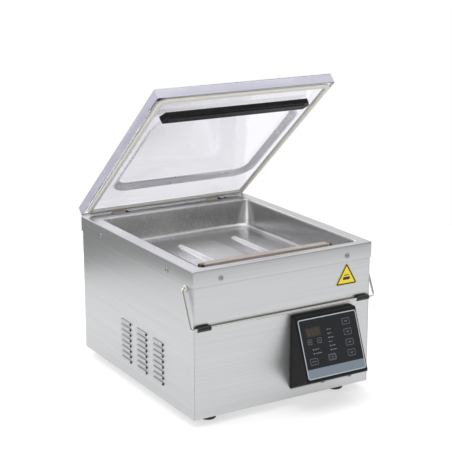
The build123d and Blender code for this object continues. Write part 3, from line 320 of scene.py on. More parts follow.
RECIPES = {
    # stainless wire, drawn and polished: bright, with faint draw lines
    "stainless_wire_drawn": ("D6D5D2", 0.16, metal(grain=0.6, height=0.004, spread=0.06)),
    # zinc plated steel, passivated: dull grey, slightly blue, mottled
    "zinc_plated_steel": (
        "9EA1A5", 0.34, metal(grain=1.5, height=0.01, patch=12, shift=0.10, spread=0.10, edge=0.3)
    ),
    # aluminium bar, extruded and clear anodised: even satin with die lines
    "aluminium_anodised": (
        "BDBEBF", 0.36, metal(grain=0.8, height=0.008, stretch=(0.02, 1, 1), edge=0.3)
    ),
    # nickel chrome heating band, rolled: dull warm grey
    "nichrome_rolled": ("8E8578", 0.40, metal(grain=0.5, height=0.006, stretch=(0.02, 1, 1))),
    # brass clamp, turned: tarnished to a dull yellow brown
    "brass_turned": ("7E6A45", 0.38, metal(grain=0.6, height=0.01, patch=6, shift=0.15, edge=0.3)),
    # aluminium casting, shot blasted: coarse matt skin
    "aluminium_cast": ("A3A5A6", 0.55, metal(grain=1.2, height=0.06, patch=20, shift=0.08, edge=0.8)),
    # silicon steel laminations, stacked and varnished: dark with close lines
    "laminated_steel": (
        "4E4B48", 0.45, metal(grain=1.0, height=0.05, stretch=(0.05, 1, 0.05), patch=10, shift=0.2)
    ),
    # steel shell, powder coated grey: fine orange peel
    "powder_coat_grey": ("6A7075", 0.42, dict(grain=1.8, height=0.03, edge=0.5, Specular_IOR_Level=0.5)),
    # filter can, stove enamelled: smooth dark gloss
    "enamel_dark": ("2B2E33", 0.22, dict(grain=3.0, height=0.01, Coat_Weight=0.3)),
    # silicone rubber, extruded cream: translucent, soft dull sheen
    "silicone_cream": ("CBC9C1", 0.48, dict(
        grain=0.9, height=0.015, patch=25, shift=0.04, Subsurface_Weight=0.15, Subsurface_Scale=0.002,
        IOR=1.41)),
    # silicone strip, extruded black: matt with a faint bloom
    "silicone_black": ("1A1A1B", 0.55, dict(grain=0.7, height=0.02, patch=10, shift=0.2, IOR=1.41)),
    # ABS, injection moulded black with a spark-eroded texture: fine stipple, broken sheen
    "abs_moulded_black": ("070708", 0.44, dict(
        grain=0.9, height=0.02, patch=30, shift=0.12, edge=0.5, Specular_IOR_Level=0.3)),
    # phenolic bar, milled black: satin with cutter lines
    "phenolic_milled": ("09090A", 0.46, dict(
        grain=0.8, height=0.02, stretch=(0.04, 1, 1), edge=0.5, Specular_IOR_Level=0.22)),
    # polypropylene tube, extruded black: waxy, softly shiny
    "polypropylene_black": ("17171A", 0.34, dict(grain=1.2, height=0.01, patch=8, shift=0.2, IOR=1.49)),
    # nylon, moulded natural: milky, light passes the thin edges
    "nylon_natural": ("DEDACD", 0.38, dict(
        grain=1.0, height=0.012, patch=15, edge=0.6, Subsurface_Weight=0.25, Subsurface_Scale=0.003,
        IOR=1.53)),
    # glass cloth tape with PTFE: grey brown, woven, greasy sheen
    "ptfe_glass_cloth": ("9C9189", 0.34, dict(grain=0.7, height=0.03, patch=18, shift=0.14, IOR=1.38)),
    # rubber, moulded: black, chalky
    "rubber_moulded": (
        "1B1B1C", 0.72, dict(grain=0.8, height=0.04, patch=12, shift=0.25, edge=0.4, IOR=1.52)
    ),
    # rubber hose with cloth wrap: ribbed black
    "hose_wrapped": ("202022", 0.62, dict(grain=1.6, height=0.15, patch=15, shift=0.2)),
    # epoxy glass board, solder masked green: satin with copper below
    "solder_mask_green": ("1F4A32", 0.30, dict(grain=1.4, height=0.03, patch=5, shift=0.35, edge=0.2)),
    # fan plastic, moulded PBT: dark grey, slightly fibrous
    "pbt_moulded": ("232426", 0.48, dict(grain=0.8, height=0.03, patch=20, shift=0.15, edge=0.3)),
    # polyester film over a key, embossed: dark satin
    "key_film": ("1C1E22", 0.32, dict(
        grain=0.7, height=0.003, patch=12, shift=0.04, spread=0.03, edge=0.2, Specular_IOR_Level=0.4)),
    # smoked acrylic, cast: dark brown grey gloss
    "acrylic_smoked": ("35302B", 0.16, dict(grain=2.0, height=0.002, patch=20, shift=0.1, IOR=1.49)),
    # screen ink, dim grey for the small marks
    "ink_dim": ("70757B", 0.45, dict(grain=0.5, height=0.004, patch=6, shift=0.08)),
    # unlit display segments: faint brown
    "segment_unlit": ("453A31", 0.35, dict(grain=0.5, height=0.003, patch=5, shift=0.1)),
    # light emitting diode lens, unlit: small milky dome
    "diode_lens": ("B9BCBE", 0.2, dict(grain=0.5, height=0.003, patch=4, shift=0.05)),
    # aluminium sign, lacquered yellow: even, slightly glossy
    "lacquer_yellow": ("DCC41C", 0.30, dict(grain=0.9, height=0.006, patch=20, shift=0.05, edge=0.2)),
    # screen ink, black on the sign
    "ink_black": ("151412", 0.38, dict(grain=0.6, height=0.004, patch=10, shift=0.1)),
}


def drawn_stainless(base):
    """Stainless sheet, deep drawn and lightly polished: soft mirror with fine pulled grain."""
    return surface("stainless_drawn", base, 0.24, grain=0.8, height=0.0008, patch=35, shift=0.04,
                   spread=0.05, Metallic=1.0)


def clear_acrylic(name, base, roughness, ripple, grain):
    """Cast acrylic: clear, with a very slight ripple that bends what is seen through it."""
    return surface(name, base, roughness, grain=grain, height=ripple, patch=80, shift=0.01,
                   spread=roughness / 2, Transmission_Weight=1.0, IOR=1.49)


def printed_film(base):
    """Polyester film, printed on the back and hard coated: dark and satin, with soft reflections."""
    return surface("polyester_film", base, 0.30, grain=0.8, height=0.002, patch=40, shift=0.04,
                   spread=0.03, Specular_IOR_Level=0.4)


# ---------------------------------------------------------------- mesh helpers

def ring(width, depth, corner, z, x=0.0, y=0.0, steps=8, along=(1, 1)):
    """Points round a rectangle with round corners; along divides its straight sides."""
    half = (width / 2 - corner, depth / 2 - corner)
    signs = ((1, 1), (-1, 1), (-1, -1), (1, -1))
    points = []
    for index, (sx, sy) in enumerate(signs):
        centre_x, centre_y = x + sx * half[0], y + sy * half[1]
        for step in range(steps + 1):
            angle = math.radians(90 * (index + step / steps))
            across, down = corner * math.cos(angle), corner * math.sin(angle)
            points.append(Vector((centre_x + across, centre_y + down, z)))
        nx, ny = signs[(index + 1) % 4]
        start = points[-1]
        turn = math.radians(90 * (index + 1))
        stop = Vector((
            x + nx * half[0] + corner * math.cos(turn), y + ny * half[1] + corner * math.sin(turn), z))
        count = along[index % 2]
        points.extend(start.lerp(stop, k / count) for k in range(1, count))
    return points


def skin(rings, cap_first=False, cap_last=False, closed=False, slots=None):
    """A mesh with faces between each ring of points and the next."""
    mesh = bmesh.new()
    loops = [[mesh.verts.new(p) for p in points] for points in rings]
    pairs = list(zip(loops, loops[1:]))
    if closed:
        pairs.append((loops[-1], loops[0]))
    for number, (low, high) in enumerate(pairs):
        for a in range(len(low)):
            b = (a + 1) % len(low)
            face = mesh.faces.new((low[a], low[b], high[b], high[a]))
            face.material_index = slots[number] if slots else 0
    if cap_first:
        mesh.faces.new(reversed(loops[0]))
    if cap_last:
        mesh.faces.new(loops[-1])
    bmesh.ops.recalc_face_normals(mesh, faces=mesh.faces)
    return mesh


def piece(name, mesh, body, materials, replaces=(), sharp=35.0, place=None):
    """Turns a bmesh into a named piece that rides on a body."""
    if place is not None:
        mesh.transform(place)
    data = bpy.data.meshes.new(name)
    mesh.to_mesh(data)
    mesh.free()
    thing = bpy.data.objects.new(name, data)
    bpy.context.scene.collection.objects.link(thing)
    for material in materials:
        data.materials.append(material)
    data.shade_smooth()
    data.set_sharp_from_angle(angle=math.radians(sharp))
    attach(thing, body)
    if replaces:
        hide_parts(*replaces)
    return thing


def apply_modifiers(thing, sharp=35.0):
    """Bakes the modifiers of a piece into its mesh."""
    graph = bpy.context.evaluated_depsgraph_get()
    data = bpy.data.meshes.new_from_object(thing.evaluated_get(graph))
    thing.modifiers.clear()
    thing.data = data
    data.shade_smooth()
    data.set_sharp_from_angle(angle=math.radians(sharp))


def thicken(thing, thickness, offset=-1.0):
    """Gives a sheet piece its thickness behind the visible face."""
    modifier = thing.modifiers.new("sheet", "SOLIDIFY")
    modifier.thickness = thickness
    modifier.offset = offset
    modifier.use_even_offset = True
    apply_modifiers(thing)


def box_mesh(low, high):
    """A bmesh box between two corners."""
    mesh = bmesh.new()
    bmesh.ops.create_cube(mesh, size=1.0)
    low, high = Vector(low), Vector(high)
    mesh.transform(Matrix.Translation((low + high) / 2) @ Matrix.Diagonal((*(high - low), 1)))
    return mesh


def cut_boxes(thing, boxes):
    """Cuts boxes, each two corners, out of a piece."""
    for low, high in boxes:
        data = bpy.data.meshes.new("cutter")
        mesh = box_mesh(low, high)
        mesh.to_mesh(data)
        mesh.free()
        cutter = bpy.data.objects.new("cutter", data)
        bpy.context.scene.collection.objects.link(cutter)
        modifier = thing.modifiers.new("cut", "BOOLEAN")
        modifier.operation = "DIFFERENCE"
        modifier.solver = "EXACT"
        modifier.object = cutter
        apply_modifiers(thing)
        bpy.data.objects.remove(cutter)


def join(target, extra, place=None):
    """Adds a copy of the bmesh extra to the bmesh target, moved by place."""
    data = bpy.data.meshes.new("part")
    extra.to_mesh(data)
    if place is not None:
        data.transform(place)
    target.from_mesh(data)
    bpy.data.meshes.remove(data)


def paint(material, *names):
    """Gives CAD nodes one material."""
    for name in names:
        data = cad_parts[name].data
        data.materials.clear()
        data.materials.append(material)
        data.polygons.foreach_set("material_index", [0] * len(data.polygons))


def lathe(profile, steps=32):
    """A turned bmesh about Z from (radius, z) points; a radius of 0 closes it."""
    turns = [2 * math.pi * k / steps for k in range(steps)]
    rings = []
    for radius, z in profile:
        r = max(radius, 1e-6)
        rings.append([Vector((r * math.cos(turn), r * math.sin(turn), z)) for turn in turns])
    return skin(rings, cap_first=True, cap_last=True)


# ---------------------------------------------------------------- operators

class MachineOperator:
    """What the operators share."""

    bl_options = {"REGISTER", "UNDO"}

    def execute(self, context):
        self.build(context.scene.packing_machine)
        return {"FINISHED"}


class PACK_OT_cover(MachineOperator, bpy.types.Operator):
    """Builds the folded stainless cover with the rolled chamber opening and the hinge slots"""

    bl_idname = "packing_machine.cover"
    bl_label = "Cover"

    def build(self, machine):
        s, tub = machine.cover, machine.chamber
        low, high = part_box("top_cover")
        width, depth = high.x - low.x, high.y - low.y
        rings = [ring(width, depth, s.corner, low.z)]
        for step in range(7):
            angle = math.radians(15 * step)
            inset = s.edge_round * (1 - math.cos(angle))
            z = high.z - s.edge_round * (1 - math.sin(angle))
            rings.append(ring(width - 2 * inset, depth - 2 * inset, max(s.corner - inset, 0.4 * MM), z))
        rings.append(ring(
            tub.width + 2 * s.rim_round, tub.depth_y + 2 * s.rim_round, tub.corner + s.rim_round, high.z,
            y=tub.middle_y))
        mesh = skin(rings)
        steel = brushed_stainless(s.steel)
        FINISHES["stainless_brushed"] = steel
        cover = piece("cover_shell", mesh, "casing", [steel], ["top_cover"])
        thicken(cover, s.sheet)
        arms_low, arms_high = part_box("hinge_blocks")
        hinge = (arms_high.x - arms_low.x - s.arm) / 2
        past = 10 * MM
        boxes = []
        for side in (-1, 1):
            slot_low = (side * hinge - s.slot_half, s.slot_front, high.z - s.notch)
            slot_high = (side * hinge + s.slot_half, high.y + past, high.z + past)
            boxes.append((slot_low, slot_high))
        pin_low, pin_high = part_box("lid_switch_plunger")
        gap = Vector((s.pin_gap, s.pin_gap, 5 * MM))
        boxes.append((pin_low - gap, pin_high + gap))
        cut_boxes(cover, boxes)


class PACK_OT_panels(MachineOperator, bpy.types.Operator):
    """Gives the casing panels and the base their brushed finish"""

    bl_idname = "packing_machine.panels"
    bl_label = "Casing panels"

    def build(self, machine):
        paint(
            FINISHES["stainless_brushed"], "base_pan", "left_side_panel", "right_side_panel",
            "front_panel", "rear_panel"
        )


class PACK_OT_screws(MachineOperator, bpy.types.Operator):
    """Builds the cross-recessed pan-head screws of the cover"""

    bl_idname = "packing_machine.screws"
    bl_label = "Cover screws"

    def build(self, machine):
        s = machine.cover
        low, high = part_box("cover_screws")
        z = (low.z + high.z) / 2
        radius = (high.z - low.z) / 2
        rise = s.screw_rise
        head = lathe([
            (radius * 0.98, -0.2 * MM), (radius, 0.0), (radius * 0.97, rise * 0.45),
            (radius * 0.8, rise * 0.8), (radius * 0.5, rise * 0.97), (0, rise),
        ])
        master = bpy.data.meshes.new("screw")
        head.to_mesh(master)
        head.free()
        screw = bpy.data.objects.new("screw", master)
        bpy.context.scene.collection.objects.link(screw)
        arm, slit = radius * 0.5, s.screw_slit
        bottom, above = rise * 0.35, rise * 2
        cut_boxes(screw, [
            ((-arm, -slit, bottom), (arm, slit, above)),
            ((-slit, -arm, bottom), (slit, arm, above)),
        ])
        mesh = bmesh.new()
        for x, y, turn in self.spots(low, high, s):
            # each screw stopped at its own angle
            stopped = Matrix.Rotation(x * 90 + y * 40, 4, "Z")
            data = screw.data.copy()
            data.transform(Matrix.Translation((x, y, z)) @ turn @ stopped)
            mesh.from_mesh(data)
            bpy.data.meshes.remove(data)
        bpy.data.objects.remove(screw)
        piece(
            "cover_screw_heads", mesh, "casing", [finish("zinc_plated_steel")],
            ["cover_screws"]
        )

    def spots(self, low, high, s):
        """Place and direction of each screw head."""
        front = Matrix.Rotation(math.radians(90), 4, "X")
        rear = Matrix.Rotation(math.radians(-90), 4, "X")
        left = Matrix.Rotation(math.radians(-90), 4, "Y")
        right = Matrix.Rotation(math.radians(90), 4, "Y")
        for side in (-1, 1):
            yield side * s.front_screws, low.y + s.screw_rise, front
            yield side * s.rear_screws, high.y - s.screw_rise, rear
            yield low.x + s.screw_rise, side * s.side_screws, left
            yield high.x - s.screw_rise, side * s.side_screws, right


class PACK_OT_chamber(MachineOperator, bpy.types.Operator):
    """Builds the deep-drawn chamber with its rolled rim, leaning walls and pressed floor pads"""

    bl_idname = "packing_machine.chamber"
    bl_label = "Chamber"

    def build(self, machine):
        s, roll = machine.chamber, machine.cover.rim_round
        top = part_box("top_cover")[1].z
        floor = top - s.deep

        def level(inset, z, corner):
            size = (s.width - 2 * inset, s.depth_y - 2 * inset)
            return ring(*size, corner, z, y=s.middle_y, steps=8, along=(60, 70))

        rings = []
        for step in range(7):
            angle = math.radians(15 * step)
            inset = -roll * (1 - math.sin(angle))
            rings.append(level(inset, top - roll * (1 - math.cos(angle)), s.corner - inset))
        foot = floor + s.floor_round
        for step in range(1, 7):
            z = top - roll + (foot - top + roll) * step / 6
            lean = (top - z) / s.deep
            rings.append(level(s.draft * lean, z, s.corner + (s.floor_corner - s.corner) * lean))
        inset = s.draft * (top - foot) / s.deep
        corner = s.corner + (s.floor_corner - s.corner) * (top - foot) / s.deep
        for step in range(1, 7):
            angle = math.radians(15 * step)
            more = s.floor_round * (1 - math.cos(angle))
            rings.append(level(inset + more, foot - s.floor_round * math.sin(angle), corner - more * 0.4))
        inset += s.floor_round
        corner -= s.floor_round * 0.4
        # the floor in close rings, so that the pads come out soft
        count = 64
        last = s.width / 2 - 3 * MM
        for step in range(1, count + 1):
            here = inset + (last - inset) * step / count
            around = max(corner * (1 - step / count), 1 * MM)
            rings.append([p + Vector((0, 0, self.rise(p.x, p.y, s))) for p in level(here, floor, around)])
        mesh = skin(rings, cap_last=True)
        steel = drawn_stainless(s.steel)
        FINISHES["stainless_drawn"] = steel
        tub = piece("chamber_tub", mesh, "casing", [steel], ["vacuum_chamber"])
        thicken(tub, 1.5 * MM)
        paint(steel, "suction_grid")

    def rise(self, x, y, s):
        """Height of the pressed pads above the floor at a point."""
        best = 0.0
        pads = ((0.0, s.middle_pad), (-s.side_pad_x, s.side_pad), (s.side_pad_x, s.side_pad))
        for middle, wide in pads:
            dx = abs(x - middle) - wide / 2 + s.pad_corner
            dy = abs(y - s.pad_middle) - s.pad_length / 2 + s.pad_corner
            outside = math.hypot(max(dx, 0), max(dy, 0)) + min(max(dx, dy), 0) - s.pad_corner
            t = min(1, max(0, 0.35 - outside / s.pad_slope))
            best = max(best, s.pad_height * t * t * (3 - 2 * t))
        return best


class PACK_OT_seal_bar(MachineOperator, bpy.types.Operator):
    """Finishes the seal bar, its band, tape, clamps and lifting cylinders"""

    bl_idname = "packing_machine.seal_bar"
    bl_label = "Seal bar"

    def build(self, machine):
        paint(finish("aluminium_anodised"), "seal_bar_beam")
        paint(finish("nichrome_rolled"), "seal_wire")
        paint(finish("ptfe_glass_cloth"), "seal_tape")
        paint(finish("brass_turned"), "seal_terminals")
        paint(finish("stainless_wire_drawn"), "lift_pistons")
        paint(finish("abs_moulded_black"), "lift_cylinders")


def lid_place(s):
    """Turns the closed lid to its open rest position about the hinge axis."""
    pivot = Vector((0, s.hinge_y, s.hinge_z))
    return Matrix.Translation(pivot) @ Matrix.Rotation(-s.opening, 4, "X") @ Matrix.Translation(-pivot)


def seal_ring(s, inset, z):
    """A ring inside the seal's outer edge of the closed lid."""
    low, high = s.front + s.front_margin + inset, s.rear - s.rear_margin - inset
    wide = s.width - 2 * s.side_margin - 2 * inset
    return ring(wide, high - low, max(s.gasket_corner - inset, 3 * MM), z, y=(low + high) / 2)


class PACK_OT_lid(MachineOperator, bpy.types.Operator):
    """Builds the thick clear lid with its polished edges and milled recess"""

    bl_idname = "packing_machine.lid"
    bl_label = "Acrylic lid"

    def build(self, machine):
        s = machine.lid
        middle, depth = (s.front + s.rear) / 2, s.rear - s.front
        top = s.under + s.thick

        def plan(inset, z):
            return ring(
                s.width - 2 * inset, depth - 2 * inset, max(s.corner - inset, 0.3 * MM), z, y=middle
            )

        def pocket(inset, z):
            low, high = s.recess_front + inset, s.recess_rear - inset
            return ring(
                s.recess_width - 2 * inset, high - low, s.recess_corner - inset, z, y=(low + high) / 2
            )

        rings, slots = [], []
        clear, edge, milled = 0, 1, 2

        def put(points, slot=clear):
            rings.append(points)
            slots.append(slot)

        # a small patch in the middle of the recess, then its slope
        patch_y = (s.recess_front + s.recess_rear) / 2
        put(ring(20 * MM, 20 * MM, 5 * MM, s.under + s.recess_deep, y=patch_y))
        steps = 24
        for step in range(steps + 1):
            share = step / steps
            drop = share * share * (3 - 2 * share)
            points = pocket(
                s.recess_run * (1 - share) - s.recess_lip, s.under + s.recess_deep * (1 - drop)
            )
            put(points, milled if share < 1 else clear)
        bevel = 0.8 * MM
        put(plan(bevel, s.under))
        put(plan(0, s.under + bevel), edge)
        put(plan(0, top - s.edge))
        for step in range(1, 5):
            angle = math.radians(22.5 * step)
            put(plan(s.edge * (1 - math.cos(angle)), top - s.edge * (1 - math.sin(angle))))
        mesh = skin(rings, cap_first=True, cap_last=True, slots=slots[:-1])
        face = clear_acrylic("acrylic_cast_clear", s.tint, 0.01, 0.02, 45)
        # sawn edge, flame polished: milky, with long slow ripples
        side = surface("acrylic_edge_flame_polished", s.edge_tint, 0.22, grain=60, height=0.05, patch=55,
                       shift=0.08, spread=0.04, Transmission_Weight=0.35, IOR=1.49)
        # milled slope of the recess, wet sanded: soft and faintly frosted
        slope = surface("acrylic_milled_slope", linear("E2E1E9"), 0.3, grain=30, height=0.02, patch=70,
                        shift=0.04, spread=0.05, Transmission_Weight=0.55, IOR=1.49)
        piece(
            "lid_acrylic", mesh, "lid", [face, side, slope], ["acrylic_lid"], sharp=30,
            place=lid_place(s)
        )


class PACK_OT_gasket(MachineOperator, bpy.types.Operator):
    """Builds the extruded silicone seal round the lid"""

    bl_idname = "packing_machine.gasket"
    bl_label = "Lid gasket"

    def build(self, machine):
        s = machine.lid
        wide, low, high = s.gasket_width, s.under - s.gasket_proud, s.under + s.groove
        shoulder = [(0, 2 * MM), (0.5 * MM, 0.8 * MM), (1.4 * MM, 0.2 * MM), (2.4 * MM, 0)]
        near = [(inset, low + rise) for inset, rise in shoulder]
        far = [(wide - inset, low + rise) for inset, rise in reversed(shoulder)]
        profile = [(0, high), *near, *far, (wide, high)]
        mesh = skin([seal_ring(s, inset, z) for inset, z in profile], closed=True)
        piece(
            "gasket_ring", mesh, "lid", [finish("silicone_cream")], ["lid_gasket"],
            place=lid_place(s)
        )


class PACK_OT_counter_bar(MachineOperator, bpy.types.Operator):
    """Finishes the black bar under the lid and its silicone strip"""

    bl_idname = "packing_machine.counter_bar"
    bl_label = "Counter bar"

    def build(self, machine):
        paint(finish("phenolic_milled"), "counter_bar_holder")
        paint(finish("silicone_black"), "counter_bar_silicone")


class PACK_OT_hinges(MachineOperator, bpy.types.Operator):
    """Finishes the lid arms, shaft, brackets, springs and screws"""

    bl_idname = "packing_machine.hinges"
    bl_label = "Lid hinges"

    def build(self, machine):
        paint(finish("nylon_natural"), "hinge_blocks")
        paint(finish("zinc_plated_steel"), "hinge_screws", "hinge_brackets")
        paint(finish("stainless_wire_drawn"), "hinge_shaft", "lid_springs")


class PACK_OT_bail(MachineOperator, bpy.types.Operator):
    """Finishes the wire hold-down, its sleeves and bushes"""

    bl_idname = "packing_machine.bail"
    bl_label = "Hold-down bail"

    def build(self, machine):
        paint(finish("stainless_wire_drawn"), "bail_wire")
        paint(finish("polypropylene_black"), "bail_sleeves")
        paint(finish("nylon_natural"), "bail_bushes")


def face_frame(s):
    """The keypad face: X across, Y up the slope, Z outward, from the middle of its top edge."""
    low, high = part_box("keypad_overlay")
    lean, rise = math.sin(s.tilt), math.cos(s.tilt)
    y = low.y + (s.top + s.height) * lean + FILM_PROUD * rise
    z = high.z + s.top * rise - FILM_PROUD * lean
    turn = Matrix(((1, 0, 0), (0, lean, -rise), (0, rise, lean))).to_4x4()
    return Matrix.Translation(((low.x + high.x) / 2, y, z)) @ turn


def flat(width, depth, corner, low, high, x=0.0, y=0.0, steps=6):
    """A thin plate with round corners."""
    rings = [ring(width, depth, corner, z, x=x, y=y, steps=steps) for z in (low, high)]
    return skin(rings, cap_first=True, cap_last=True)


def hoop(width, depth, corner, line, low, high, x=0.0, y=0.0, steps=6):
    """A thin line of even width round a rectangle with round corners."""
    outer = (width, depth, corner)
    inner = (width - 2 * line, depth - 2 * line, max(corner - line, 0.2 * MM))
    around = ((outer, low), (outer, high), (inner, high), (inner, low))
    return skin([ring(*size, z, x=x, y=y, steps=steps) for size, z in around], closed=True)


class PACK_OT_control_unit(MachineOperator, bpy.types.Operator):
    """Finishes the moulded housing of the keypad with its board and screws"""

    bl_idname = "packing_machine.control_unit"
    bl_label = "Control housing"

    def build(self, machine):
        paint(finish("abs_moulded_black"), "control_housing")
        paint(finish("solder_mask_green"), "control_board")
        paint(finish("zinc_plated_steel"), "housing_screws")


class PACK_OT_keypad(MachineOperator, bpy.types.Operator):
    """Builds the printed film, border, display and the marks of the keys"""

    bl_idname = "packing_machine.keypad"
    bl_label = "Keypad"

    def build(self, machine):
        s = machine.keypad
        place = face_frame(s)
        film_top = FILM_PROUD
        ink = film_top + 0.06 * MM
        middle = -s.top - s.height / 2
        paint(printed_film(s.film_colour), "keypad_overlay")
        paint(finish("acrylic_smoked"), "display_window")
        border = surface(
            "ink_border", s.border_colour, 0.4, grain=0.6, height=0.004, patch=25, shift=0.03
        )
        line = hoop(s.width - 0.3 * MM, s.height - 0.3 * MM, s.corner, s.border, film_top, ink, y=middle)
        piece("keypad_border", line, "casing", [border], place=place)
        band = surface("ink_band", s.band_colour, 0.36, grain=0.6, height=0.004, patch=25, shift=0.03)
        low = -s.top - s.height + s.border
        inner = s.width - 0.3 * MM - 2 * s.border
        strip = flat(inner, s.band, 1.5 * MM, film_top, ink, y=low + s.band / 2 + 0.1 * MM)
        piece("keypad_band", strip, "casing", [band], place=place)
        self.display(place, film_top)
        self.lamps(place, film_top)
        self.keys(place)

    def display(self, place, film_top):
        """Three unlit seven-segment digits behind the window."""
        low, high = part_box("display_window")
        centre = place.inverted() @ ((low + high) / 2)
        mesh = bmesh.new()
        pitch, ink = 8.2 * MM, film_top + 0.04 * MM
        for digit in (-1, 0, 1):
            x = centre.x + digit * pitch
            for dx, dy, wide, tall in self.segments():
                join(mesh, flat(wide, tall, 0.25 * MM, film_top, ink, x=x + dx, y=centre.y + dy, steps=2))
        piece("display_digits", mesh, "casing", [finish("segment_unlit")], place=place)

    def segments(self):
        """Middle and size of each bar of a seven-segment digit."""
        tall, wide, line = 4.2 * MM, 4.4 * MM, 0.8 * MM
        for level in (-1, 0, 1):
            yield 0, level * tall, wide - line, line
        for side in (-1, 1):
            for level in (-1, 1):
                yield side * wide / 2, level * tall / 2, line, tall - line

    def lamps(self, place, film_top):
        """Indicator lenses with a plain dash beside each."""
        origin = place.translation.x
        lenses, dashes = bmesh.new(), bmesh.new()
        # place across, place down the face and length of the dash, in millimetres
        rows = [(71.6, 29.6 + 7.0 * k, long) for k, long in enumerate((4, 4, 7, 3, 8, 9))]
        rows += [(36.5, 58.6, 9), (36.5, 65.4, 13)]
        dome = [(0.8 * MM, 0), (0.75 * MM, 0.12 * MM), (0.4 * MM, 0.2 * MM), (0, 0.22 * MM)]
        ink, lens_to_dash = film_top + 0.05 * MM, 2.6
        for x, down, long in rows:
            join(
                lenses, lathe(dome, steps=16),
                Matrix.Translation((x * MM - origin, -down * MM, film_top))
            )
            middle = (x + lens_to_dash + long / 2) * MM - origin
            join(
                dashes,
                flat(long * MM, 1.1 * MM, 0.4 * MM, film_top, ink, x=middle, y=-down * MM, steps=3)
            )
        piece("indicator_lenses", lenses, "casing", [finish("diode_lens")], place=place)
        piece("indicator_dashes", dashes, "casing", [finish("ink_dim")], place=place)

    def keys(self, place):
        """An outline and a plain mark on each key."""
        top, ink = KEY_PROUD, KEY_PROUD + 0.05 * MM
        names = [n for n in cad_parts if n.startswith("key_")]
        paint(finish("key_film"), *names)
        for name in names:
            low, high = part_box(name)
            centre = place.inverted() @ ((low + high) / 2)
            wide = high.x - low.x
            # the two small keys are square
            tall = wide if wide < 12 * MM else 11 * MM
            middle = dict(x=centre.x, y=centre.y)
            mesh = hoop(
                wide - 0.5 * MM, tall - 0.5 * MM, 1.4 * MM, 0.55 * MM, top, ink, steps=4, **middle
            )
            for dx, dy, across, down in self.marks(name):
                mark_x, mark_y = centre.x + dx * MM, centre.y + dy * MM
                join(mesh, flat(across * MM, down * MM, 0.3 * MM, top, ink, x=mark_x, y=mark_y, steps=3))
            if name == "key_lower_middle":
                line = hoop(
                    wide - 4 * MM, tall - 3.4 * MM, 2.6 * MM, 0.5 * MM, top, ink, steps=5, **middle
                )
                join(mesh, line)
            piece(name + "_print", mesh, name + "_body", [finish("ink_dim")], place=place)

    def marks(self, name):
        """Plain bars that stand for a key's sign: place and size in millimetres."""
        if name == "key_up":
            return [(0, 0, 3.0, 0.9), (0, 1.15, 0.9, 1.4), (0, -1.15, 0.9, 1.4)]
        if name == "key_down":
            return [(0, 0, 3.0, 0.9)]
        if name == "key_lower_left":
            return [(-2.6, 0, 2.6, 1.0), (0.2, 0, 1.6, 1.0), (2.9, 0, 2.4, 1.0)]
        if name == "key_lower_middle":
            return [(0, 0, 4.0, 1.0)]
        return [(-1.2, 0, 1.9, 1.6), (1.5, 0, 1.9, 1.6)]


class PACK_OT_sign(MachineOperator, bpy.types.Operator):
    """Builds the plain triangular sign with its border and bar"""

    bl_idname = "packing_machine.sign"
    bl_label = "Sign"

    def build(self, machine):
        low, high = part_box("triangle_plate")
        paint(finish("lacquer_yellow"), "triangle_plate")
        centre_x = (low.x + high.x) / 2
        side = 45 * MM
        centre_z = low.z + side * math.sqrt(3) / 6
        face = low.y

        def corner_ring(reach, radius, y):
            """A triangle with round corners, reach from its middle to each."""
            points = []
            for k in range(3):
                angle = math.radians(90 + 120 * k)
                middle = Vector((math.cos(angle), math.sin(angle))) * (reach - 2 * radius)
                for step in range(7):
                    turn = angle + math.radians(-60 + 20 * step)
                    x = centre_x + middle.x + radius * math.cos(turn)
                    z = centre_z + middle.y + radius * math.sin(turn)
                    points.append(Vector((x, y, z)))
            return points

        reach = side / math.sqrt(3)
        outer, inner = reach - 0.9 * MM, reach - 5.6 * MM
        lift = 0.06 * MM
        rings = [corner_ring(outer, 1.9 * MM, face), corner_ring(outer, 1.9 * MM, face - lift),
                 corner_ring(inner, 0.8 * MM, face - lift), corner_ring(inner, 0.8 * MM, face)]
        mesh = skin(rings, closed=True)
        upright = Matrix.Translation((centre_x, face, centre_z)) @ Matrix.Rotation(
            math.radians(90), 4, "X"
        )
        join(mesh, flat(15 * MM, 5.2 * MM, 2.4 * MM, 0, lift, y=-1.6 * MM), upright)
        join(mesh, flat(10 * MM, 1.6 * MM, 0.7 * MM, 0, lift, y=4.0 * MM), upright)
        piece("sign_print", mesh, "casing", [finish("ink_black")])


class PACK_OT_rear_services(MachineOperator, bpy.types.Operator):
    """Finishes the fan, the mains inlet, the switches and the feet"""

    bl_idname = "packing_machine.rear_services"
    bl_label = "Rear services and feet"

    def build(self, machine):
        paint(finish("pbt_moulded"), "fan_frame", "fan_impeller")
        paint(finish("stainless_wire_drawn"), "fan_guard")
        paint(finish("abs_moulded_black"), "power_inlet", "switch_frame", "lid_switch_body")
        paint(finish("polypropylene_black"), "switch_rocker", "lid_switch_plunger")
        paint(finish("rubber_moulded"), "rubber_feet", "drive_mounts")


class PACK_OT_drive(MachineOperator, bpy.types.Operator):
    """Finishes the motor, pump, hose, filter, transformer and boards inside the casing"""

    bl_idname = "packing_machine.drive"
    bl_label = "Drive"

    def build(self, machine):
        paint(finish("zinc_plated_steel"), "drive_plate")
        paint(finish("powder_coat_grey"), "motor_housing")
        paint(finish("laminated_steel"), "drive_rotor", "transformer")
        paint(finish("aluminium_cast"), "pump_housing")
        paint(finish("enamel_dark"), "oil_filter")
        paint(finish("hose_wrapped"), "vacuum_hose")
        paint(finish("solder_mask_green"), "power_board")
        paint(finish("brass_turned"), "valve_block")


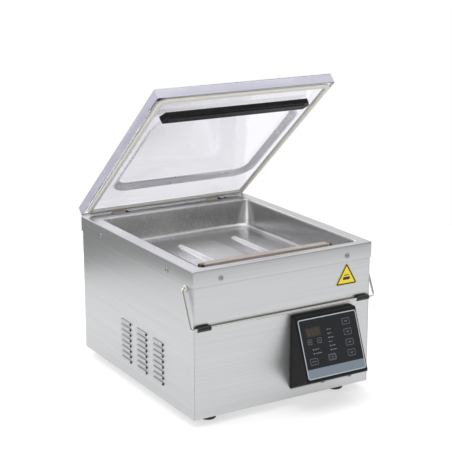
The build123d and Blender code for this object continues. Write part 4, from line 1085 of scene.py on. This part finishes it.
class PACK_OT_stage(MachineOperator, bpy.types.Operator):
    """Builds the pale floor, the soft lights and the camera"""

    bl_idname = "packing_machine.stage"
    bl_label = "Floor, lights and camera"

    def build(self, machine):
        s = machine.stage
        scene = bpy.context.scene
        scene.view_settings.view_transform = "Standard"
        data = bpy.data.cameras.new("camera")
        data.lens = 102.87
        data.clip_end = 50
        camera = bpy.data.objects.new("camera", data)
        # from the front left, looking a little down
        azimuth, elevation = math.radians(-30.955), math.radians(14.867)
        level = math.cos(elevation)
        back = Vector((math.sin(azimuth) * level, -math.cos(azimuth) * level, math.sin(elevation)))
        camera.location = (-1.1370, -1.9124, 0.8641)
        camera.rotation_euler = (-back).to_track_quat("-Z", "Y").to_euler()
        scene.collection.objects.link(camera)
        scene.camera = camera
        self.floor(s)
        self.room(s)
        self.soft_box("overhead", s.key, (2.4, 2.4), (-0.3, -0.2, 2.3), (0, 0, 0))
        self.soft_box("left", s.fill, (1.6, 2.0), (-2.3, 0.2, 1.1), (0, 0, 0.2))
        self.soft_box("behind", s.rim, (2.0, 1.4), (0.4, 2.6, 1.3), (0, 0, 0.3))

    def floor(self, s):
        mesh = bmesh.new()
        bmesh.ops.create_circle(mesh, cap_ends=True, segments=96, radius=1.35)
        mesh.transform(Matrix.Translation((0.2, -0.5, 0)))
        data = bpy.data.meshes.new("floor")
        mesh.to_mesh(data)
        mesh.free()
        floor = bpy.data.objects.new("floor", data)
        # opal acrylic sheet, lit from below: even and matt, with faint shadows
        opal = surface("floor_opal_acrylic", s.opal, 0.75, grain=2.0, height=0.01, patch=400, shift=0.01,
                       Emission_Color=s.glow, Emission_Strength=0.52)
        data.materials.append(opal)
        bpy.context.scene.collection.objects.link(floor)

    def room(self, s):
        """White seen directly, even light, and a room for reflections that is darker in front and low down.

        Seen through the lid, it is white behind the machine and a little darker to the sides.
        """
        world = bpy.data.worlds.new("studio")
        bpy.context.scene.world = world
        world.use_nodes = True
        tree = world.node_tree
        tree.nodes.clear()
        way = add(tree, "ShaderNodeTexCoord").outputs["Generated"]
        split = add(tree, "ShaderNodeSeparateXYZ", {0: way})
        behind = add(tree, "ShaderNodeMapRange", {
            "Value": split.outputs["Y"], "From Min": -0.9, "From Max": 0.1, "To Min": 0.38,
            "To Max": 1.0},
            interpolation_type="SMOOTHSTEP")
        high = add(tree, "ShaderNodeMapRange", {
            "Value": split.outputs["Z"], "From Min": 0.42, "From Max": 0.75, "To Min": 0.0,
            "To Max": 1.0},
            interpolation_type="SMOOTHSTEP")
        bright = add(
            tree, "ShaderNodeMath", {0: behind.outputs[0], 1: high.outputs[0]}, operation="MAXIMUM"
        )
        low = add(tree, "ShaderNodeMapRange", {
            "Value": split.outputs["Z"], "From Min": -0.15, "From Max": 0.05, "To Min": 0.3,
            "To Max": 1.0})
        dim = add(tree, "ShaderNodeMath", {0: bright.outputs[0], 1: low.outputs[0]}, operation="MULTIPLY")
        path = add(tree, "ShaderNodeLightPath")
        mirrored = add(tree, "ShaderNodeBackground", {"Color": (1, 1, 1, 1), "Strength": dim.outputs[0]})
        even = add(tree, "ShaderNodeBackground", {"Color": (1, 1, 1, 1), "Strength": s.room})
        ahead = (0.497, 0.829, -0.257)
        backdrop = add(tree, "ShaderNodeVectorMath", {0: way, 1: ahead}, operation="DOT_PRODUCT")
        beyond = add(tree, "ShaderNodeMapRange", {
            "Value": backdrop.outputs["Value"], "From Min": 0.55, "From Max": 0.96, "To Min": 0.7,
            "To Max": 1.0})
        through = add(
            tree, "ShaderNodeBackground", {"Color": (1, 1, 1, 1), "Strength": beyond.outputs[0]}
        )
        seen = add(tree, "ShaderNodeBackground", {"Color": (1, 1, 1, 1), "Strength": 1.0})
        lit = add(
            tree, "ShaderNodeMixShader",
            {0: path.outputs["Is Glossy Ray"], 1: even.outputs[0], 2: mirrored.outputs[0]}
        )
        clear = add(tree, "ShaderNodeMixShader", {
            0: path.outputs["Is Transmission Ray"], 1: lit.outputs[0], 2: through.outputs[0]})
        whole = add(
            tree, "ShaderNodeMixShader",
            {0: path.outputs["Is Camera Ray"], 1: clear.outputs[0], 2: seen.outputs[0]}
        )
        add(tree, "ShaderNodeOutputWorld", {"Surface": whole.outputs[0]})

    def soft_box(self, name, power, size, place, aim):
        data = bpy.data.lights.new(name, "AREA")
        data.shape = "RECTANGLE"
        data.size, data.size_y = size
        data.energy = power
        lamp = bpy.data.objects.new(name, data)
        lamp.location = place
        lamp.rotation_euler = (Vector(aim) - Vector(place)).to_track_quat("-Z", "Y").to_euler()
        bpy.context.scene.collection.objects.link(lamp)


OPERATORS = (
    PACK_OT_stage, PACK_OT_cover, PACK_OT_panels, PACK_OT_screws, PACK_OT_chamber, PACK_OT_seal_bar,
    PACK_OT_lid, PACK_OT_gasket, PACK_OT_counter_bar, PACK_OT_hinges, PACK_OT_bail, PACK_OT_control_unit,
    PACK_OT_keypad, PACK_OT_sign, PACK_OT_rear_services, PACK_OT_drive,
)


class PACK_PT_machine(bpy.types.Panel):
    """Lists the steps that build the machine"""

    bl_idname = "PACK_PT_machine"
    bl_label = "Packing machine"
    bl_space_type = "VIEW_3D"
    bl_region_type = "UI"
    bl_category = "Packing machine"

    def draw(self, context):
        machine = context.scene.packing_machine
        for operator in OPERATORS:
            self.layout.operator(operator.bl_idname)
        for name, group in SETTINGS.items():
            box = self.layout.box()
            box.label(text=name)
            for key in group.__annotations__:
                box.prop(getattr(machine, name), key)


CLASSES = (*SETTINGS.values(), MachineSettings, *OPERATORS, PACK_PT_machine)


def register():
    for item in CLASSES:
        bpy.utils.register_class(item)
    bpy.types.Scene.packing_machine = PointerProperty(type=MachineSettings)


def unregister():
    del bpy.types.Scene.packing_machine
    for item in reversed(CLASSES):
        bpy.utils.unregister_class(item)


def main():
    """Registers the classes and builds every piece in order."""
    register()
    for operator in OPERATORS:
        group, name = operator.bl_idname.split(".")
        getattr(getattr(bpy.ops, group), name)()


if __name__ == "__main__":
    main()
